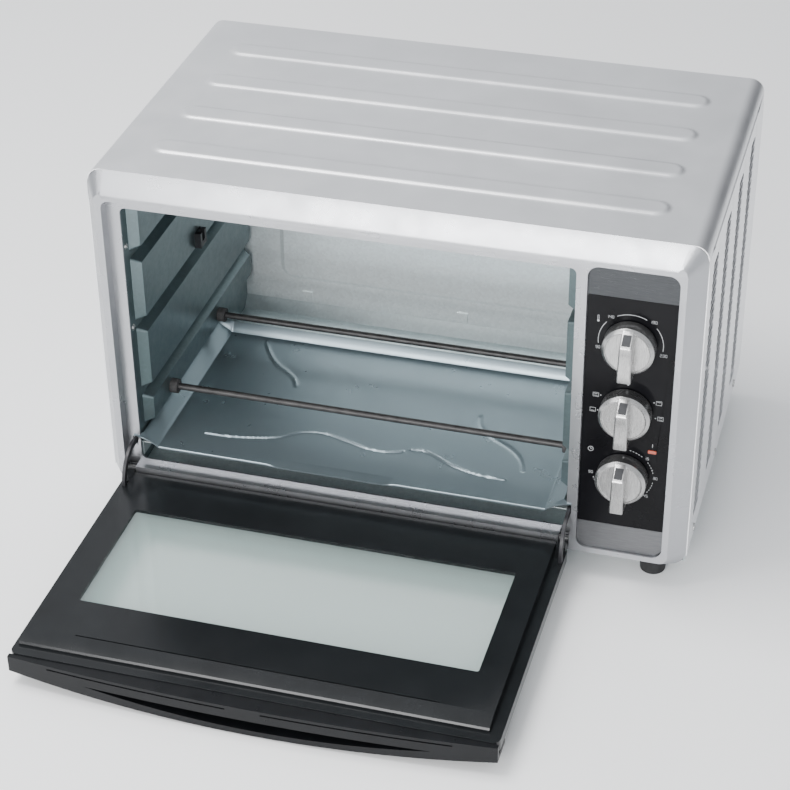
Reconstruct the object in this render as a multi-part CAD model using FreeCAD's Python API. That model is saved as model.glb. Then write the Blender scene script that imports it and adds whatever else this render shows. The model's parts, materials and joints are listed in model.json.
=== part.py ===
import FreeCAD, Part
import math
import os

os.makedirs("parts", exist_ok=True)
V = FreeCAD.Vector

# Countertop toaster oven, millimetres. X to the right seen from the front, front faces -Y, +Z up.
# Origin: middle of the ground covered with the door laid open, on the plane the feet stand on.

# ---- overall ----
body_width = 500.0
body_depth = 304.0          # front face of the bezel to the rear edge of the cover
body_height = 301.0         # bottom of the bezel to the top of the cover
foot_height = 21.0
sheet = 0.8                 # cover, rear panel and base panel
cavity_sheet = 0.6

# ---- bezel ----
bezel_depth = 12.0          # front face to the rear of the moulding
bevel_depth = 9.0           # the outer band slopes back this far
bevel_top, bevel_left, bevel_right, bevel_bottom = 18.0, 7.5, 14.0, 5.0
bezel_corner_r, bezel_inner_r = 15.0, 7.0
bezel_wall = 2.0
band_hollow_depth, band_hollow_r = 6.0, 2.0
recess_depth = 10.0         # the door's recess
recess_left, recess_bottom = 13.4, 17.5     # from the body's left edge, above the bottom of the bezel
recess_top_margin = 24.0
recess_r = 7.0
strip_left, strip_right = 11.6, 5.7         # floor of the recess beside the chamber's mouth
strip_bottom, strip_top = 3.0, 10.0
opening_r = 5.0

# ---- control panel ----
panel_margin, panel_width = 19.0, 71.0      # from the body's right edge
divider_w = 4.8                             # between the door's recess and the panel
panel_bottom = 10.0
panel_corner_r = 9.0
panel_recess = 4.0
panel_plate = 1.5           # thickness of the glossy panel and of the two steel plates
plate_high = 26.0           # height of each steel plate
plate_gap = 0.3
knob_from_panel_left, knob_pitch, knobs_up = 35.4, 62.25, 6.25
lamp_right_of_knob, lamp_above_knob = 22.3, 25.9
lamp_w, lamp_h = 7.0, 3.2

# ---- knobs ----
knob_dia = 41.4
knob_face = 12.0            # face of the disc in front of the bezel's face
knob_skirt_gap = 0.8
knob_bar_w, knob_bar_out, knob_bar_over = 10.5, 12.0, 0.6
knob_shaft_r, knob_shaft_in = 3.0, 16.0
shaft_clear = 0.08
switch_w, switch_h, switch_d = 44.0, 44.0, 30.0

# ---- cooking chamber ----
chamber_rear_gap = 16.0     # back wall to the rear of the body
chamber_below, chamber_above = 7.5, 12.0    # the chamber reaches past its mouth, down and up
wall_panel_out, wall_panel_slope = 8.5, 4.0
wall_panel_front, wall_panel_rear = 10.0, 6.0
rack_pitch = 67.0
rack_top_drop = 52.0        # the top rack level below the top of the raised panels
groove_high = 7.0
wall_panel_low, wall_panel_drop = 49.0, 11.0
back_panel_out, back_panel_margin, back_panel_r = 4.0, 36.0, 14.0
floor_bead_w, floor_bead_h = 8.0, 2.0
louvre_w, louvre_h = 28.0, 3.4
louvre_pitch = 8.0
louvre_cols_n, louvre_front, louvre_rear = 4, 49.7, 55.4     # column centres from the front and the rear
louvre_low, louvre_top_margin = 34.0, 29.0

# ---- heaters ----
rod_r = 3.0
rod_low_z, rod_below_ceiling = 61.0, 22.0
rod_front, rod_rear = 67.0, 115.0           # from the front face, and from the rear of the body
insulator_r, insulator_flange_r = 4.6, 6.5
insulator_in, insulator_out = 7.0, 12.0

# ---- crumb tray ----
tray_sheet = 0.7
tray_side_gap = 1.5
tray_depth = 197.0
tray_floor_z, tray_rim_h, tray_side_slope = 36.0, 10.0, 15.0
tray_lip_drop = 5.0
tray_ear, tray_ear_h = 7.5, 3.0
tray_front_gap = 0.3
tray_notch_w, tray_notch_h = 106.0, 3.5
runner_w, runner_t = 22.0, 0.8

# ---- door, drawn closed and then laid open ----
door_open_angle = 90.0
pivot_depth, pivot_z = 5.0, 13.0            # behind the front face, above the bottom of the bezel
door_over_left, door_in_right = 0.9, 0.7    # past the recess's left edge, short of its right edge
door_gap = 1.0              # shell in front of the bezel's face
door_shell_t = 10.0
door_up, door_top_drop = 1.3, 16.0          # from the recess's bottom and top
door_corner_r = 6.0
inner_margins = (4.0, 10.0, 0.6, 10.0)      # inner frame inside the door: left, right, bottom, top
inner_frame_t = 6.0
inner_top_slope = 15.0
window_margins = (26.5, 22.5, 50.6, 57.0)   # window inside the inner frame: left, right, bottom, top
inner_glass_t, outer_glass_t = 3.0, 4.0
outer_window_margin = 14.0
glass_gap = 0.3
lug_w, lug_r, lug_clear, lug_side_clear = 8.0, 4.2, 1.2, 0.8
pin_r, pin_clear = 1.5, 0.08
arm_r, arm_w, arm_t = 26.0, 5.0, 3.0
arm_end_angle = 73.0
arm_slot_clear = 0.8
arm_in_left, arm_in_right = 7.1, 3.0        # centres of the two stay arms inside the recess

# ---- handle ----
handle_high, handle_wall = 23.0, 7.5
handle_out_end, handle_out_mid = 4.0, 15.6
handle_over_end, handle_over_mid = 4.0, 13.0    # past the door's top edge
grip_in_left, grip_in_right = 65.5, 50.5    # finger recess from the door's ends
grip_depth_mid = 9.0
handle_slot_h, handle_slot_in = 1.3, 1.2    # two decorative slots along the edge
handle_slot_margin, handle_slot_bridge = 34.0, 28.0

# ---- feet and fasteners ----
foot_r_top, foot_r_bottom = 12.5, 10.5
foot_in_x, foot_in_front, foot_in_rear = 29.0, 28.0, 30.0
screw_r, screw_head_r, screw_head_h = 1.75, 3.4, 1.8
gland_r, gland_margin, gland_z, gland_proud = 6.0, 35.0, 70.0, 2.9
rear_in = 1.6              # the rear panel sits this far inside the cover's edge

# ---- places worked out from the sizes above ----
# From the body's left edge
panel_right = body_width - panel_margin
panel_left = panel_right - panel_width
recess_right = panel_left - divider_w
opening_left, opening_right = recess_left + strip_left, recess_right - strip_right
knob_x = panel_left + knob_from_panel_left
lamp_x = knob_x + lamp_right_of_knob
door_left, door_right = recess_left - door_over_left, recess_right - door_in_right
inner_left, inner_right = door_left + inner_margins[0], door_right - inner_margins[1]
window_left, window_right = inner_left + window_margins[0], inner_right - window_margins[1]
grip_left, grip_right = door_left + grip_in_left, door_right - grip_in_right
arm_left_x, arm_right_x = recess_left + arm_in_left, recess_right - arm_in_right
# Above the bottom of the bezel
recess_top = body_height - recess_top_margin
opening_bottom, opening_top = recess_bottom + strip_bottom, recess_top - strip_top
panel_top = recess_top
knob_mid_z = (panel_bottom + panel_top) / 2 + knobs_up
knob_z = (knob_mid_z + knob_pitch, knob_mid_z, knob_mid_z - knob_pitch)
lamp_z = knob_z[2] + lamp_above_knob
chamber_floor, chamber_ceiling = opening_bottom - chamber_below, opening_top + chamber_above
wall_panel_high = chamber_ceiling - wall_panel_drop
rack_n = int((wall_panel_high - rack_top_drop - wall_panel_low) / rack_pitch) + 1
rack_grooves = [wall_panel_high - rack_top_drop - i * rack_pitch for i in reversed(range(rack_n))]
rod_high_z = chamber_ceiling - rod_below_ceiling
louvre_high = body_height - louvre_top_margin
door_bottom, door_top = recess_bottom + door_up, recess_top - door_top_drop
inner_bottom, inner_top = door_bottom + inner_margins[2], door_top - inner_margins[3]
window_bottom, window_top = inner_bottom + window_margins[2], inner_top - window_margins[3]
handle_top_end, handle_top_mid = door_top + handle_over_end, door_top + handle_over_mid
# Behind the front face
chamber_depth = body_depth - bezel_depth - chamber_rear_gap
rod_depths = (rod_front, body_depth - rod_rear)


def spread(first, last, n):
    """n evenly spaced values from first to last."""
    return [first + (last - first) * i / (n - 1) for i in range(n)]


louvre_cols = spread(louvre_front, body_depth - louvre_rear, louvre_cols_n)

# In the model's frame
half_w = body_width / 2
door_reach = handle_top_mid - pivot_z - pivot_depth
front_y = (door_reach - body_depth - gland_proud) / 2
rear_y = front_y + body_depth
base_z = foot_height
top_z = base_z + body_height
hole_clear = 0.2
head_clear = 0.6


def px(v):
    """Distance from the body's left edge to X."""
    return v - half_w


def py(v):
    """Distance behind the front face to Y."""
    return front_y + v


def pz(v):
    """Height above the bottom of the bezel to Z."""
    return base_z + v


def box(x0, x1, y0, y1, z0, z1):
    return Part.makeBox(x1 - x0, y1 - y0, z1 - z0, V(x0, y0, z0))


def cyl(r, p, axis, length):
    return Part.makeCylinder(r, length, V(*p), V(*axis))


def cone(r0, r1, p, axis, length):
    return Part.makeCone(r0, r1, length, V(*p), V(*axis))


def join(shapes):
    out = shapes[0]
    if len(shapes) > 1:
        out = out.fuse(shapes[1:])
    return out.removeSplitter()


def put(axis, c, a, b):
    """A point in the plane normal to an axis: c along the axis, a and b in the plane."""
    return {"x": V(c, a, b), "y": V(a, c, b), "z": V(a, b, c)}[axis]


def round_rect(axis, c, a0, a1, b0, b1, r):
    """Closed wire: a rectangle with rounded corners in the plane normal to an axis."""
    k = r * (1 - math.sqrt(0.5))
    pts = [((a0 + r, b0), (a1 - r, b0)), ((a1, b0 + r), (a1, b1 - r)),
           ((a1 - r, b1), (a0 + r, b1)), ((a0, b1 - r), (a0, b0 + r))]
    mids = [(a1 - k, b0 + k), (a1 - k, b1 - k), (a0 + k, b1 - k), (a0 + k, b0 + k)]
    edges = []
    for i in range(4):
        p, q = pts[i]
        n = pts[(i + 1) % 4][0]
        edges.append(Part.LineSegment(put(axis, c, *p), put(axis, c, *q)).toShape())
        edges.append(Part.Arc(put(axis, c, *q), put(axis, c, *mids[i]), put(axis, c, *n)).toShape())
    return Part.Wire(edges)


def slab(axis, c0, c1, a0, a1, b0, b1, r):
    """Plate with rounded corners."""
    f = Part.Face(round_rect(axis, c0, a0, a1, b0, b1, r))
    return f.extrude(put(axis, c1 - c0, 0, 0))


def frustum(axis, c0, base, c1, top, r0, r1):
    """Raised panel between two rounded rectangles, each given as (a0, a1, b0, b1)."""
    return Part.makeLoft([round_rect(axis, c0, *base, r0), round_rect(axis, c1, *top, r1)], True, True)


def inset(rect, d):
    return (rect[0] + d, rect[1] - d, rect[2] + d, rect[3] - d)


def prism(axis, c0, c1, pts):
    """Straight-sided polygon in the plane normal to an axis, extruded along it."""
    w = Part.makePolygon([put(axis, c0, a, b) for a, b in pts + [pts[0]]])
    return Part.Face(w).extrude(put(axis, c1 - c0, 0, 0))


def pan_screw(p, axis, length):
    """Pan-head screw: p is under the head, the shank runs along the axis."""
    a = V(*axis)
    head_p = V(*p) - a * screw_head_h
    head = Part.makeCylinder(screw_head_r, screw_head_h, head_p, a)
    slot = Part.makeBox(screw_head_r * 1.4, screw_head_h * 0.45, screw_head_h * 0.5)
    slot.translate(V(-screw_head_r * 0.7, -screw_head_h * 0.225, 0))
    cross = slot.copy()
    cross.rotate(V(0, 0, 0), V(0, 0, 1), 90)
    drive = slot.fuse(cross)
    drive.Placement = FreeCAD.Placement(head_p, FreeCAD.Rotation(V(0, 0, 1), a))
    shank = Part.makeCylinder(screw_r, length, V(*p), a)
    return head.cut(drive).fuse(shank).removeSplitter()


def save(name, shape):
    if isinstance(shape, list):
        shape = Part.makeCompound(shape)
    shape.exportStep("parts/" + name + ".step")


# ---- outer cover: one bent sheet, four long ribs, louvres in both sides ----
cover_front, cover_rear = py(bevel_depth), rear_y
cover_bottom = pz(11.0)
cover_r = 12.0
ribs_n, rib_front, rib_rear, rib_side_margin = 4, 58.5, 56.0, 38.0
rib_w, rib_h, rib_slope = 25.0, 2.6, 2.6
rib_depths = spread(rib_front, body_depth - rib_rear, ribs_n)
rib_half_len = half_w - rib_side_margin


def cover_block(d, y0, y1):
    """Solid inside the cover's skin, d in from its outer face."""
    r = cover_r - d
    b = slab("y", y0, y1, -half_w + d, half_w - d, pz(-30.0), top_z - d, r)
    return b.cut(box(-half_w, half_w, y0, y1, pz(-40.0), cover_bottom))


cover = cover_block(0.0, cover_front, cover_rear).cut(
    cover_block(sheet, cover_front, cover_rear))
ribs, hollows = [], []
for d in rib_depths:
    y = py(d)
    rect = (-rib_half_len, rib_half_len, y - rib_w / 2, y + rib_w / 2)
    crest = inset(rect, rib_slope)
    end_r = rib_w / 2 - 0.01
    rib = frustum("z", top_z, rect, top_z + rib_h, crest, end_r, end_r - rib_slope)
    ribs.append(rib.fuse(slab("z", top_z - sheet, top_z, *rect, end_r)))
    rect, crest = inset(rect, sheet), inset(crest, sheet)
    hollows.append(frustum("z", top_z - sheet, rect, top_z + rib_h - sheet, crest,
                           end_r - sheet, end_r - rib_slope - sheet))
louvres = []
row_n = int((louvre_high - louvre_low) / louvre_pitch) + 1
for d in louvre_cols:
    for i in range(row_n):
        z = pz(louvre_low) + i * louvre_pitch
        for s in (-1, 1):
            x0, x1 = sorted((s * (half_w - 2 * sheet), s * (half_w + 1.0)))
            louvres.append(slab("x", x0, x1, py(d) - louvre_w / 2, py(d) + louvre_w / 2,
                                z - louvre_h / 2, z + louvre_h / 2, louvre_h / 2 - 0.01))
cover = cover.fuse(ribs).cut(hollows).removeSplitter()
cover_screw_y = [py(d) for d in spread(40.0, body_depth - 42.0, 3)]
side_screw_z = pz(18.0)
cover_holes = [cyl(screw_r + hole_clear, (-half_w - 1.0, y, side_screw_z), (1, 0, 0), body_width + 2.0)
               for y in cover_screw_y]
cover = cover.cut(louvres + cover_holes)
save("outer_cover", cover)

# ---- front bezel ----
outer_rect = (-half_w, half_w, base_z, top_z)
face_rect = (px(bevel_left), px(body_width - bevel_right), pz(bevel_bottom), pz(body_height - bevel_top))
bezel = frustum("y", py(bevel_depth), outer_rect, py(0.0), face_rect, bezel_corner_r, bezel_inner_r)
skirt = inset(outer_rect, sheet + 0.2)
bezel = bezel.fuse(slab("y", py(bevel_depth), py(bezel_depth), *skirt, bezel_corner_r - sheet))
door_recess = slab("y", py(-1.0), py(recess_depth), px(recess_left), px(recess_right),
                   pz(recess_bottom), pz(recess_top), recess_r)
opening = slab("y", py(-1.0), py(bezel_depth + 1.0), px(opening_left), px(opening_right),
               pz(opening_bottom), pz(opening_top), opening_r)
panel_pocket = slab("y", py(-1.0), py(panel_recess), px(panel_left), px(panel_right),
                    pz(panel_bottom), pz(panel_top), panel_corner_r)
panel_mouth = slab("y", py(0.0), py(bezel_depth + 1.0), px(panel_left + 6.0), px(panel_right - 6.0),
                   pz(panel_bottom + 12.0), pz(panel_top - 12.0), panel_corner_r)
# The bands are hollow behind; each hollow keeps a wall under the sloping outer bevel
hollow_y0, hollow_y1 = py(band_hollow_depth), py(bezel_depth + 1.0)
bevel_left_at_hollow = 1.0 - (band_hollow_depth - bezel_wall) / bevel_depth
band_low, band_high = pz(30.0), pz(recess_top - 12.0)


def under_bevel(bevel):
    return bevel * bevel_left_at_hollow + bezel_wall / 2


hollow_rects = [
    (px(under_bevel(bevel_left)), px(recess_left - bezel_wall), band_low, band_high),
    (px(panel_right + bezel_wall), px(body_width - under_bevel(bevel_right)), band_low, band_high),
    (px(20.0), px(body_width - 20.0), pz(recess_top + bezel_wall),
     pz(body_height - under_bevel(bevel_top)))]
band_hollows = [slab("y", hollow_y0, hollow_y1, *rect, band_hollow_r) for rect in hollow_rects]
arm_spans = [(px(c) - arm_t / 2, px(c) + arm_t / 2) for c in (arm_left_x, arm_right_x)]
arm_slots = [box(a - arm_slot_clear, b + arm_slot_clear, py(recess_depth - 1.0), py(bezel_depth + 1.0),
                 pz(pivot_z + arm_r - arm_w), pz(pivot_z + arm_r + arm_w / 2 + 1.2)) for a, b in arm_spans]
pivot = (px(0.0), py(pivot_depth), pz(pivot_z))
lug_left = px(max(door_left, recess_left)) + lug_side_clear
lug_right = px(min(door_right, recess_right)) - lug_side_clear
lug_spans = [(lug_left, lug_left + lug_w), (lug_right - lug_w, lug_right)]
well_r = lug_r + lug_clear
lug_wells = []
for a, b in lug_spans:
    a, b = a - 0.5, b + 0.5
    lug_wells.append(cyl(well_r, (a, pivot[1], pivot[2]), (1, 0, 0), b - a))
    lug_wells.append(box(a, b, py(-1.0), pivot[1] + well_r, pivot[2], pz(recess_bottom + recess_r)))
    lug_wells.append(box(a, b, py(-1.0), pivot[1], pivot[2] - well_r, pivot[2] + 1.0))
pin_spans = [(lug_spans[0][0] - 6.0, lug_spans[0][1] - 0.6), (lug_spans[1][0] + 0.6, lug_spans[1][1] + 5.2)]
pins = [cyl(pin_r, (a, pivot[1], pivot[2]), (1, 0, 0), b - a) for a, b in pin_spans]
bezel = bezel.cut([door_recess, opening, panel_pocket, panel_mouth] + band_hollows)
bezel = bezel.cut(arm_slots + lug_wells).cut(pins)
save("hinge_pins", pins)

# ---- base panel: a shallow tray inside the cover ----
base_y0, base_y1 = py(bezel_depth), rear_y - 2.5
base_half = half_w - sheet - 0.3
base_floor = pz(3.0)
base_up = 20.0
base = join([box(-base_half, base_half, base_y0, base_y1, base_floor, base_floor + sheet),
             box(-base_half, -base_half + sheet, base_y0, base_y1, base_floor, base_floor + base_up),
             box(base_half - sheet, base_half, base_y0, base_y1, base_floor, base_floor + base_up)])
vent_side, vent_pitch = 60.0, 24.0
vents_n = int((body_width - 2 * vent_side - 20.0) / vent_pitch) + 1
vents = [slab("z", base_floor - 1.0, base_floor + 2.0, x - 2.0, x + 2.0, py(d), py(d + 34.0), 1.9)
         for x in [px(v) for v in spread(vent_side, body_width - vent_side - 20.0, vents_n)]
          for d in (80.0, body_depth - 124.0)]
foot_xy = [(s * (half_w - foot_in_x), y)
           for s in (-1, 1) for y in (py(foot_in_front), rear_y - foot_in_rear)]
foot_holes = [cyl(screw_r + hole_clear, (x, y, base_floor - 1.0), (0, 0, 1), 5.0) for x, y in foot_xy]
side_holes = [cyl(screw_r, (s * (base_half - 2.0), y, side_screw_z), (s, 0, 0), 4.0)
              for s in (-1, 1) for y in cover_screw_y]
base = base.cut(vents + foot_holes + side_holes)
save("base_panel", base)

# ---- feet ----
feet, foot_screws = [], []
foot_bore = 4.0
for x, y in foot_xy:
    foot = cone(foot_r_bottom, foot_r_top, (x, y, 0.0), (0, 0, 1), base_floor)
    foot = foot.cut([cyl(foot_bore, (x, y, -1.0), (0, 0, 1), base_floor - 3.0),
                     cyl(screw_r + hole_clear, (x, y, 0.0), (0, 0, 1), base_floor + 1.0)])
    feet.append(foot)
    foot_screws.append(pan_screw((x, y, base_floor - 4.0), (0, 0, 1), 9.0))
save("feet", feet)
save("foot_screws", foot_screws)

# ---- cover screws along both sides ----
save("cover_screws", [pan_screw((s * half_w, y, side_screw_z), (-s, 0, 0), 6.0)
                      for s in (-1, 1) for y in cover_screw_y])

# ---- rear panel ----
rp_y1 = rear_y - rear_in
rp_half, rp_bottom, rp_top = half_w - sheet - 0.3, pz(5.0) + sheet, top_z - sheet - 0.3
rear = slab("y", rp_y1 - sheet, rp_y1, -rp_half, rp_half, rp_bottom, rp_top, cover_r - sheet - 0.4)
rear_vents = [slab("y", rp_y1 - sheet - 1.0, rp_y1 + 1.0, px(x), px(x + 46.0), pz(z), pz(z + 3.0), 1.4)
              for x in (60.0, 130.0, 200.0, 270.0) for z in [150.0 + 9.0 * i for i in range(10)]]
gland_cx = half_w - gland_margin
gland_p = (gland_cx, rp_y1, pz(gland_z))
rear = rear.cut(rear_vents + [cyl(gland_r, (gland_cx, rp_y1 - 4.0, pz(gland_z)), (0, 1, 0), 8.0)])
rear_tab = 10.0
tabs = [box(x - 8.0, x + 8.0, rp_y1 - sheet - rear_tab, rp_y1 - sheet, rp_top - sheet, rp_top)
        for x in (-150.0, 150.0)]
rear = rear.fuse(tabs).removeSplitter()
rear_screw_xz = [(s * (half_w - 25.0), z) for s in (-1, 1) for z in (pz(40.0), pz(body_height - 46.0))]
post_len = 9.0
posts = []
for x, z in rear_screw_xz:
    hole = cyl(screw_r, (x, rp_y1 - 20.0, z), (0, 1, 0), 24.0)
    rear = rear.cut(hole)
    s = 1 if x > 0 else -1
    x0, x1 = sorted((x - s * 8.0, s * (half_w - sheet)))
    ear = box(x0, x1, rp_y1 - sheet - 1.2, rp_y1 - sheet, z - 9.0, z + 9.0).cut(hole)
    lap_x0, lap_x1 = sorted((s * (half_w - sheet - 1.2), s * (half_w - sheet)))
    ear = ear.fuse(box(lap_x0, lap_x1, rp_y1 - sheet - post_len, rp_y1 - sheet, z - 9.0, z + 9.0))
    posts.append(ear.removeSplitter())
save("rear_panel", rear)
save("rear_brackets", posts)
save("rear_screws", [pan_screw((x, rp_y1, z), (0, -1, 0), 6.0) for x, z in rear_screw_xz])
gland = cyl(gland_r + 2.5, gland_p, (0, 1, 0), rear_in + gland_proud).fuse(
    [cyl(gland_r - 0.1, (gland_cx, rp_y1 - sheet, pz(gland_z)), (0, 1, 0), sheet),
     cyl(gland_r + 2.0, (gland_cx, rp_y1 - sheet - 3.0, pz(gland_z)), (0, 1, 0), 3.0)])
gland_bore_r = 3.6
gland = gland.cut(cyl(gland_bore_r, (gland_cx, rp_y1 - 8.0, pz(gland_z)), (0, 1, 0), 16.0)).removeSplitter()
save("cord_gland", gland)

# ---- cooking chamber ----
ch_x0, ch_x1 = px(opening_left), px(opening_right)
ch_y0, ch_y1 = py(bezel_depth), py(bezel_depth) + chamber_depth
ch_z0, ch_z1 = pz(chamber_floor), pz(chamber_ceiling)
t = cavity_sheet
bands = []
low = wall_panel_low
for g in list(rack_grooves) + [wall_panel_high + groove_high / 2]:
    bands.append((pz(low), pz(g - groove_high / 2)))
    low = g + groove_high / 2


def chamber_wall(x_in, s):
    """Side wall: x_in is its inner face and s points into the chamber."""
    xo0, xo1 = sorted((x_in, x_in - s * t))
    wall = box(xo0, xo1, ch_y0, ch_y1, ch_z0 - t, ch_z1)
    out, cut = [], []
    for z0, z1 in bands:
        rect = (ch_y0 + wall_panel_front, ch_y1 - wall_panel_rear, z0, z1)
        crest = inset(rect, wall_panel_slope)
        r0, r1 = 2.6, 1.6
        out.append(frustum("x", x_in, rect, x_in + s * wall_panel_out, crest, r0, r1))
        back, bcrest = inset(rect, t), inset(crest, t)
        cut.append(frustum("x", x_in - s * t, back, x_in + s * (wall_panel_out - t), bcrest,
                           r0 - t, r1 - t))
    wall = wall.fuse(out).cut(cut)
    for d in rod_depths:
        for z in (rod_low_z, rod_high_z):
            x0 = min(x_in - s * 3.0, x_in + s * (wall_panel_out + 1.0))
            wall = wall.cut(cyl(insulator_r, (x0, py(d), pz(z)), (1, 0, 0), wall_panel_out + 4.0))
    return wall.removeSplitter()


left_wall = chamber_wall(ch_x0, 1)
right_wall = chamber_wall(ch_x1, -1)
rivet_z = (pz(chamber_ceiling - 129.0), pz(chamber_ceiling - 51.0))
rivet_y = ch_y0 + 4.5
rivet_r, rivet_head_r, rivet_head_h = 1.6, 3.0, 1.2
rivets = []
for x_in, s in ((ch_x0, 1), (ch_x1, -1)):
    for z in rivet_z:
        shank = cyl(rivet_r, (x_in - s * t, rivet_y, z), (s, 0, 0), t)
        head = cone(rivet_head_r, rivet_head_r * 0.6, (x_in, rivet_y, z), (s, 0, 0), rivet_head_h)
        rivets.append(shank.fuse(head).removeSplitter())
        if s > 0:
            left_wall = left_wall.cut(shank)
        else:
            right_wall = right_wall.cut(shank)
save("wall_rivets", rivets)

socket_y = ch_y0 + chamber_depth / 2
socket_z = pz(rack_grooves[-2] + 15.0)
socket_half, socket_out = 7.0, 6.0
socket_hole = cyl(3.0, (ch_x0 - 2.0, socket_y, socket_z), (1, 0, 0), wall_panel_out + 3.0)
left_wall = left_wall.cut(socket_hole)
socket_x = ch_x0 + wall_panel_out
socket = box(socket_x, socket_x + socket_out, socket_y - socket_half, socket_y + socket_half,
             socket_z - socket_half, socket_z + socket_half)
socket = socket.cut(box(socket_x + 2.0, socket_x + socket_out + 1.0, socket_y - 3.0, socket_y + 3.0,
                        socket_z - 2.0, socket_z + socket_half + 1.0))
socket_peg = cyl(2.9, (ch_x0 - 1.6, socket_y, socket_z), (1, 0, 0), wall_panel_out + 1.6)
save("spit_socket", socket.fuse(socket_peg).removeSplitter())

ceiling = box(ch_x0 - t, ch_x1 + t, ch_y0, ch_y1, ch_z1, ch_z1 + t)
floor = box(ch_x0, ch_x1, ch_y0, ch_y1, ch_z0 - t, ch_z0)
bead_len0, bead_len1 = 30.0, 18.0
for x in (ch_x0 + 33.0, ch_x1 - 33.0):
    rect = (x - floor_bead_w / 2, x + floor_bead_w / 2, ch_y0 + bead_len0, ch_y1 - bead_len1)
    r = floor_bead_w / 2 - 0.01
    floor = floor.fuse(frustum("z", ch_z0, rect, ch_z0 + floor_bead_h, inset(rect, 1.6), r, r - 1.6))
    floor = floor.cut(frustum("z", ch_z0 - t, inset(rect, t), ch_z0 + floor_bead_h - t,
                              inset(rect, 1.6 + t), r - t, r - 1.6 - t))
step_h, step_in = 11.0, 9.0
back = box(ch_x0 - t, ch_x1 + t, ch_y1, ch_y1 + t, ch_z0 - t, ch_z1 + t)
m = back_panel_margin
rect = (ch_x0 + m, ch_x1 - m, ch_z0 + m, ch_z1 - 22.0)
crest = inset(rect, 5.0)
back = back.fuse(frustum("y", ch_y1, rect, ch_y1 - back_panel_out, crest, back_panel_r, back_panel_r - 5.0))
back = back.cut(frustum("y", ch_y1 + t, inset(rect, t), ch_y1 - back_panel_out + t, inset(crest, t),
                        back_panel_r - t, back_panel_r - 5.0 - t))
back = back.fuse([box(x - 5.0, x + 5.0, ch_y1 - 1.6, ch_y1, ch_z0 + step_h + 2.0, ch_z0 + step_h + 12.0)
                  for x in (ch_x0 + 62.0, ch_x0 + 215.0)]).removeSplitter()
kick = prism("x", ch_x0, ch_x1, [(ch_y1, ch_z0 + step_h), (ch_y1 - step_in, ch_z0),
                                 (ch_y1 - step_in + t, ch_z0), (ch_y1, ch_z0 + step_h - t)])
for name, shape in (("chamber_left_wall", left_wall), ("chamber_right_wall", right_wall),
                    ("chamber_ceiling", ceiling), ("chamber_floor", floor.removeSplitter()),
                    ("chamber_back_wall", back), ("chamber_rear_slope", kick)):
    save(name, shape)

# ---- runners under the crumb tray ----
runner_top = pz(tray_floor_z) - tray_sheet
runner_y0, runner_y1 = ch_y0 + 2.0, ch_y0 + tray_depth + 17.0
runner_leg = 14.0
for name, x_in, s in (("tray_runner_left", ch_x0, 1), ("tray_runner_right", ch_x1, -1)):
    xa, xb = sorted((x_in, x_in + s * runner_w))
    xc, xd = sorted((x_in, x_in + s * runner_t))
    save(name, join([box(xa, xb, runner_y0, runner_y1, runner_top - runner_t, runner_top),
                     box(xc, xd, runner_y0, runner_y1, runner_top - runner_leg, runner_top)]))

# ---- heaters and their insulators ----
insulators = []
for level, z in (("lower", pz(rod_low_z)), ("upper", pz(rod_high_z))):
    for place, d in (("front", rod_depths[0]), ("rear", rod_depths[1])):
        y = py(d)
        x0, x1 = ch_x0 - insulator_out - 8.0, ch_x1 + insulator_out + 8.0
        rod = cyl(rod_r, (x0 + 8.0, y, z), (1, 0, 0), x1 - x0 - 16.0)
        rod = rod.fuse([cyl(1.2, (x0, y, z), (1, 0, 0), 8.0), cyl(1.2, (x1 - 8.0, y, z), (1, 0, 0), 8.0)])
        save("heater_" + level + "_" + place, rod.removeSplitter())
        for x_in, s in ((ch_x0, 1), (ch_x1, -1)):
            face = x_in + s * wall_panel_out
            neck = cyl(insulator_r - 0.1, (x_in - s * insulator_out, y, z), (s, 0, 0),
                       insulator_out + wall_panel_out + insulator_in)
            collar = cyl(insulator_flange_r, (face, y, z), (s, 0, 0), insulator_in)
            bore = cyl(rod_r, (x_in - s * 40.0, y, z), (s, 0, 0), 90.0)
            insulators.append(neck.fuse(collar).cut(bore).removeSplitter())
save("heater_insulators", insulators)

# ---- crumb tray ----
tr_x0, tr_x1 = ch_x0 + tray_side_gap, ch_x1 - tray_side_gap
tr_y0 = py(recess_depth) - tray_front_gap - tray_sheet
tr_y1 = tr_y0 + tray_depth
tr_z, tt = pz(tray_floor_z), tray_sheet
fx0, fx1 = tr_x0 + tray_side_slope, tr_x1 - tray_side_slope
section = [(tr_x0, tr_z + tray_rim_h), (fx0, tr_z), (fx1, tr_z), (tr_x1, tr_z + tray_rim_h),
           (tr_x1 - 1.0, tr_z + tray_rim_h), (fx1 - 0.5, tr_z + tt), (fx0 + 0.5, tr_z + tt),
           (tr_x0 + 1.0, tr_z + tray_rim_h)]
section = [(x, z - tt) for x, z in section]
tray = prism("y", tr_y0, tr_y1, section)
rim_z = tr_z + tray_rim_h - tt
rear_rim = prism("y", tr_y1 - tt, tr_y1,
                 [(tr_x0, rim_z), (fx0, tr_z - tt), (fx1, tr_z - tt), (tr_x1, rim_z)])
lip_z = tr_z - tt - tray_lip_drop
mid_x = (tr_x0 + tr_x1) / 2 - 15.0
ear_r = min(tray_ear, px(recess_right) - tr_x1 - 1.2)
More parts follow.
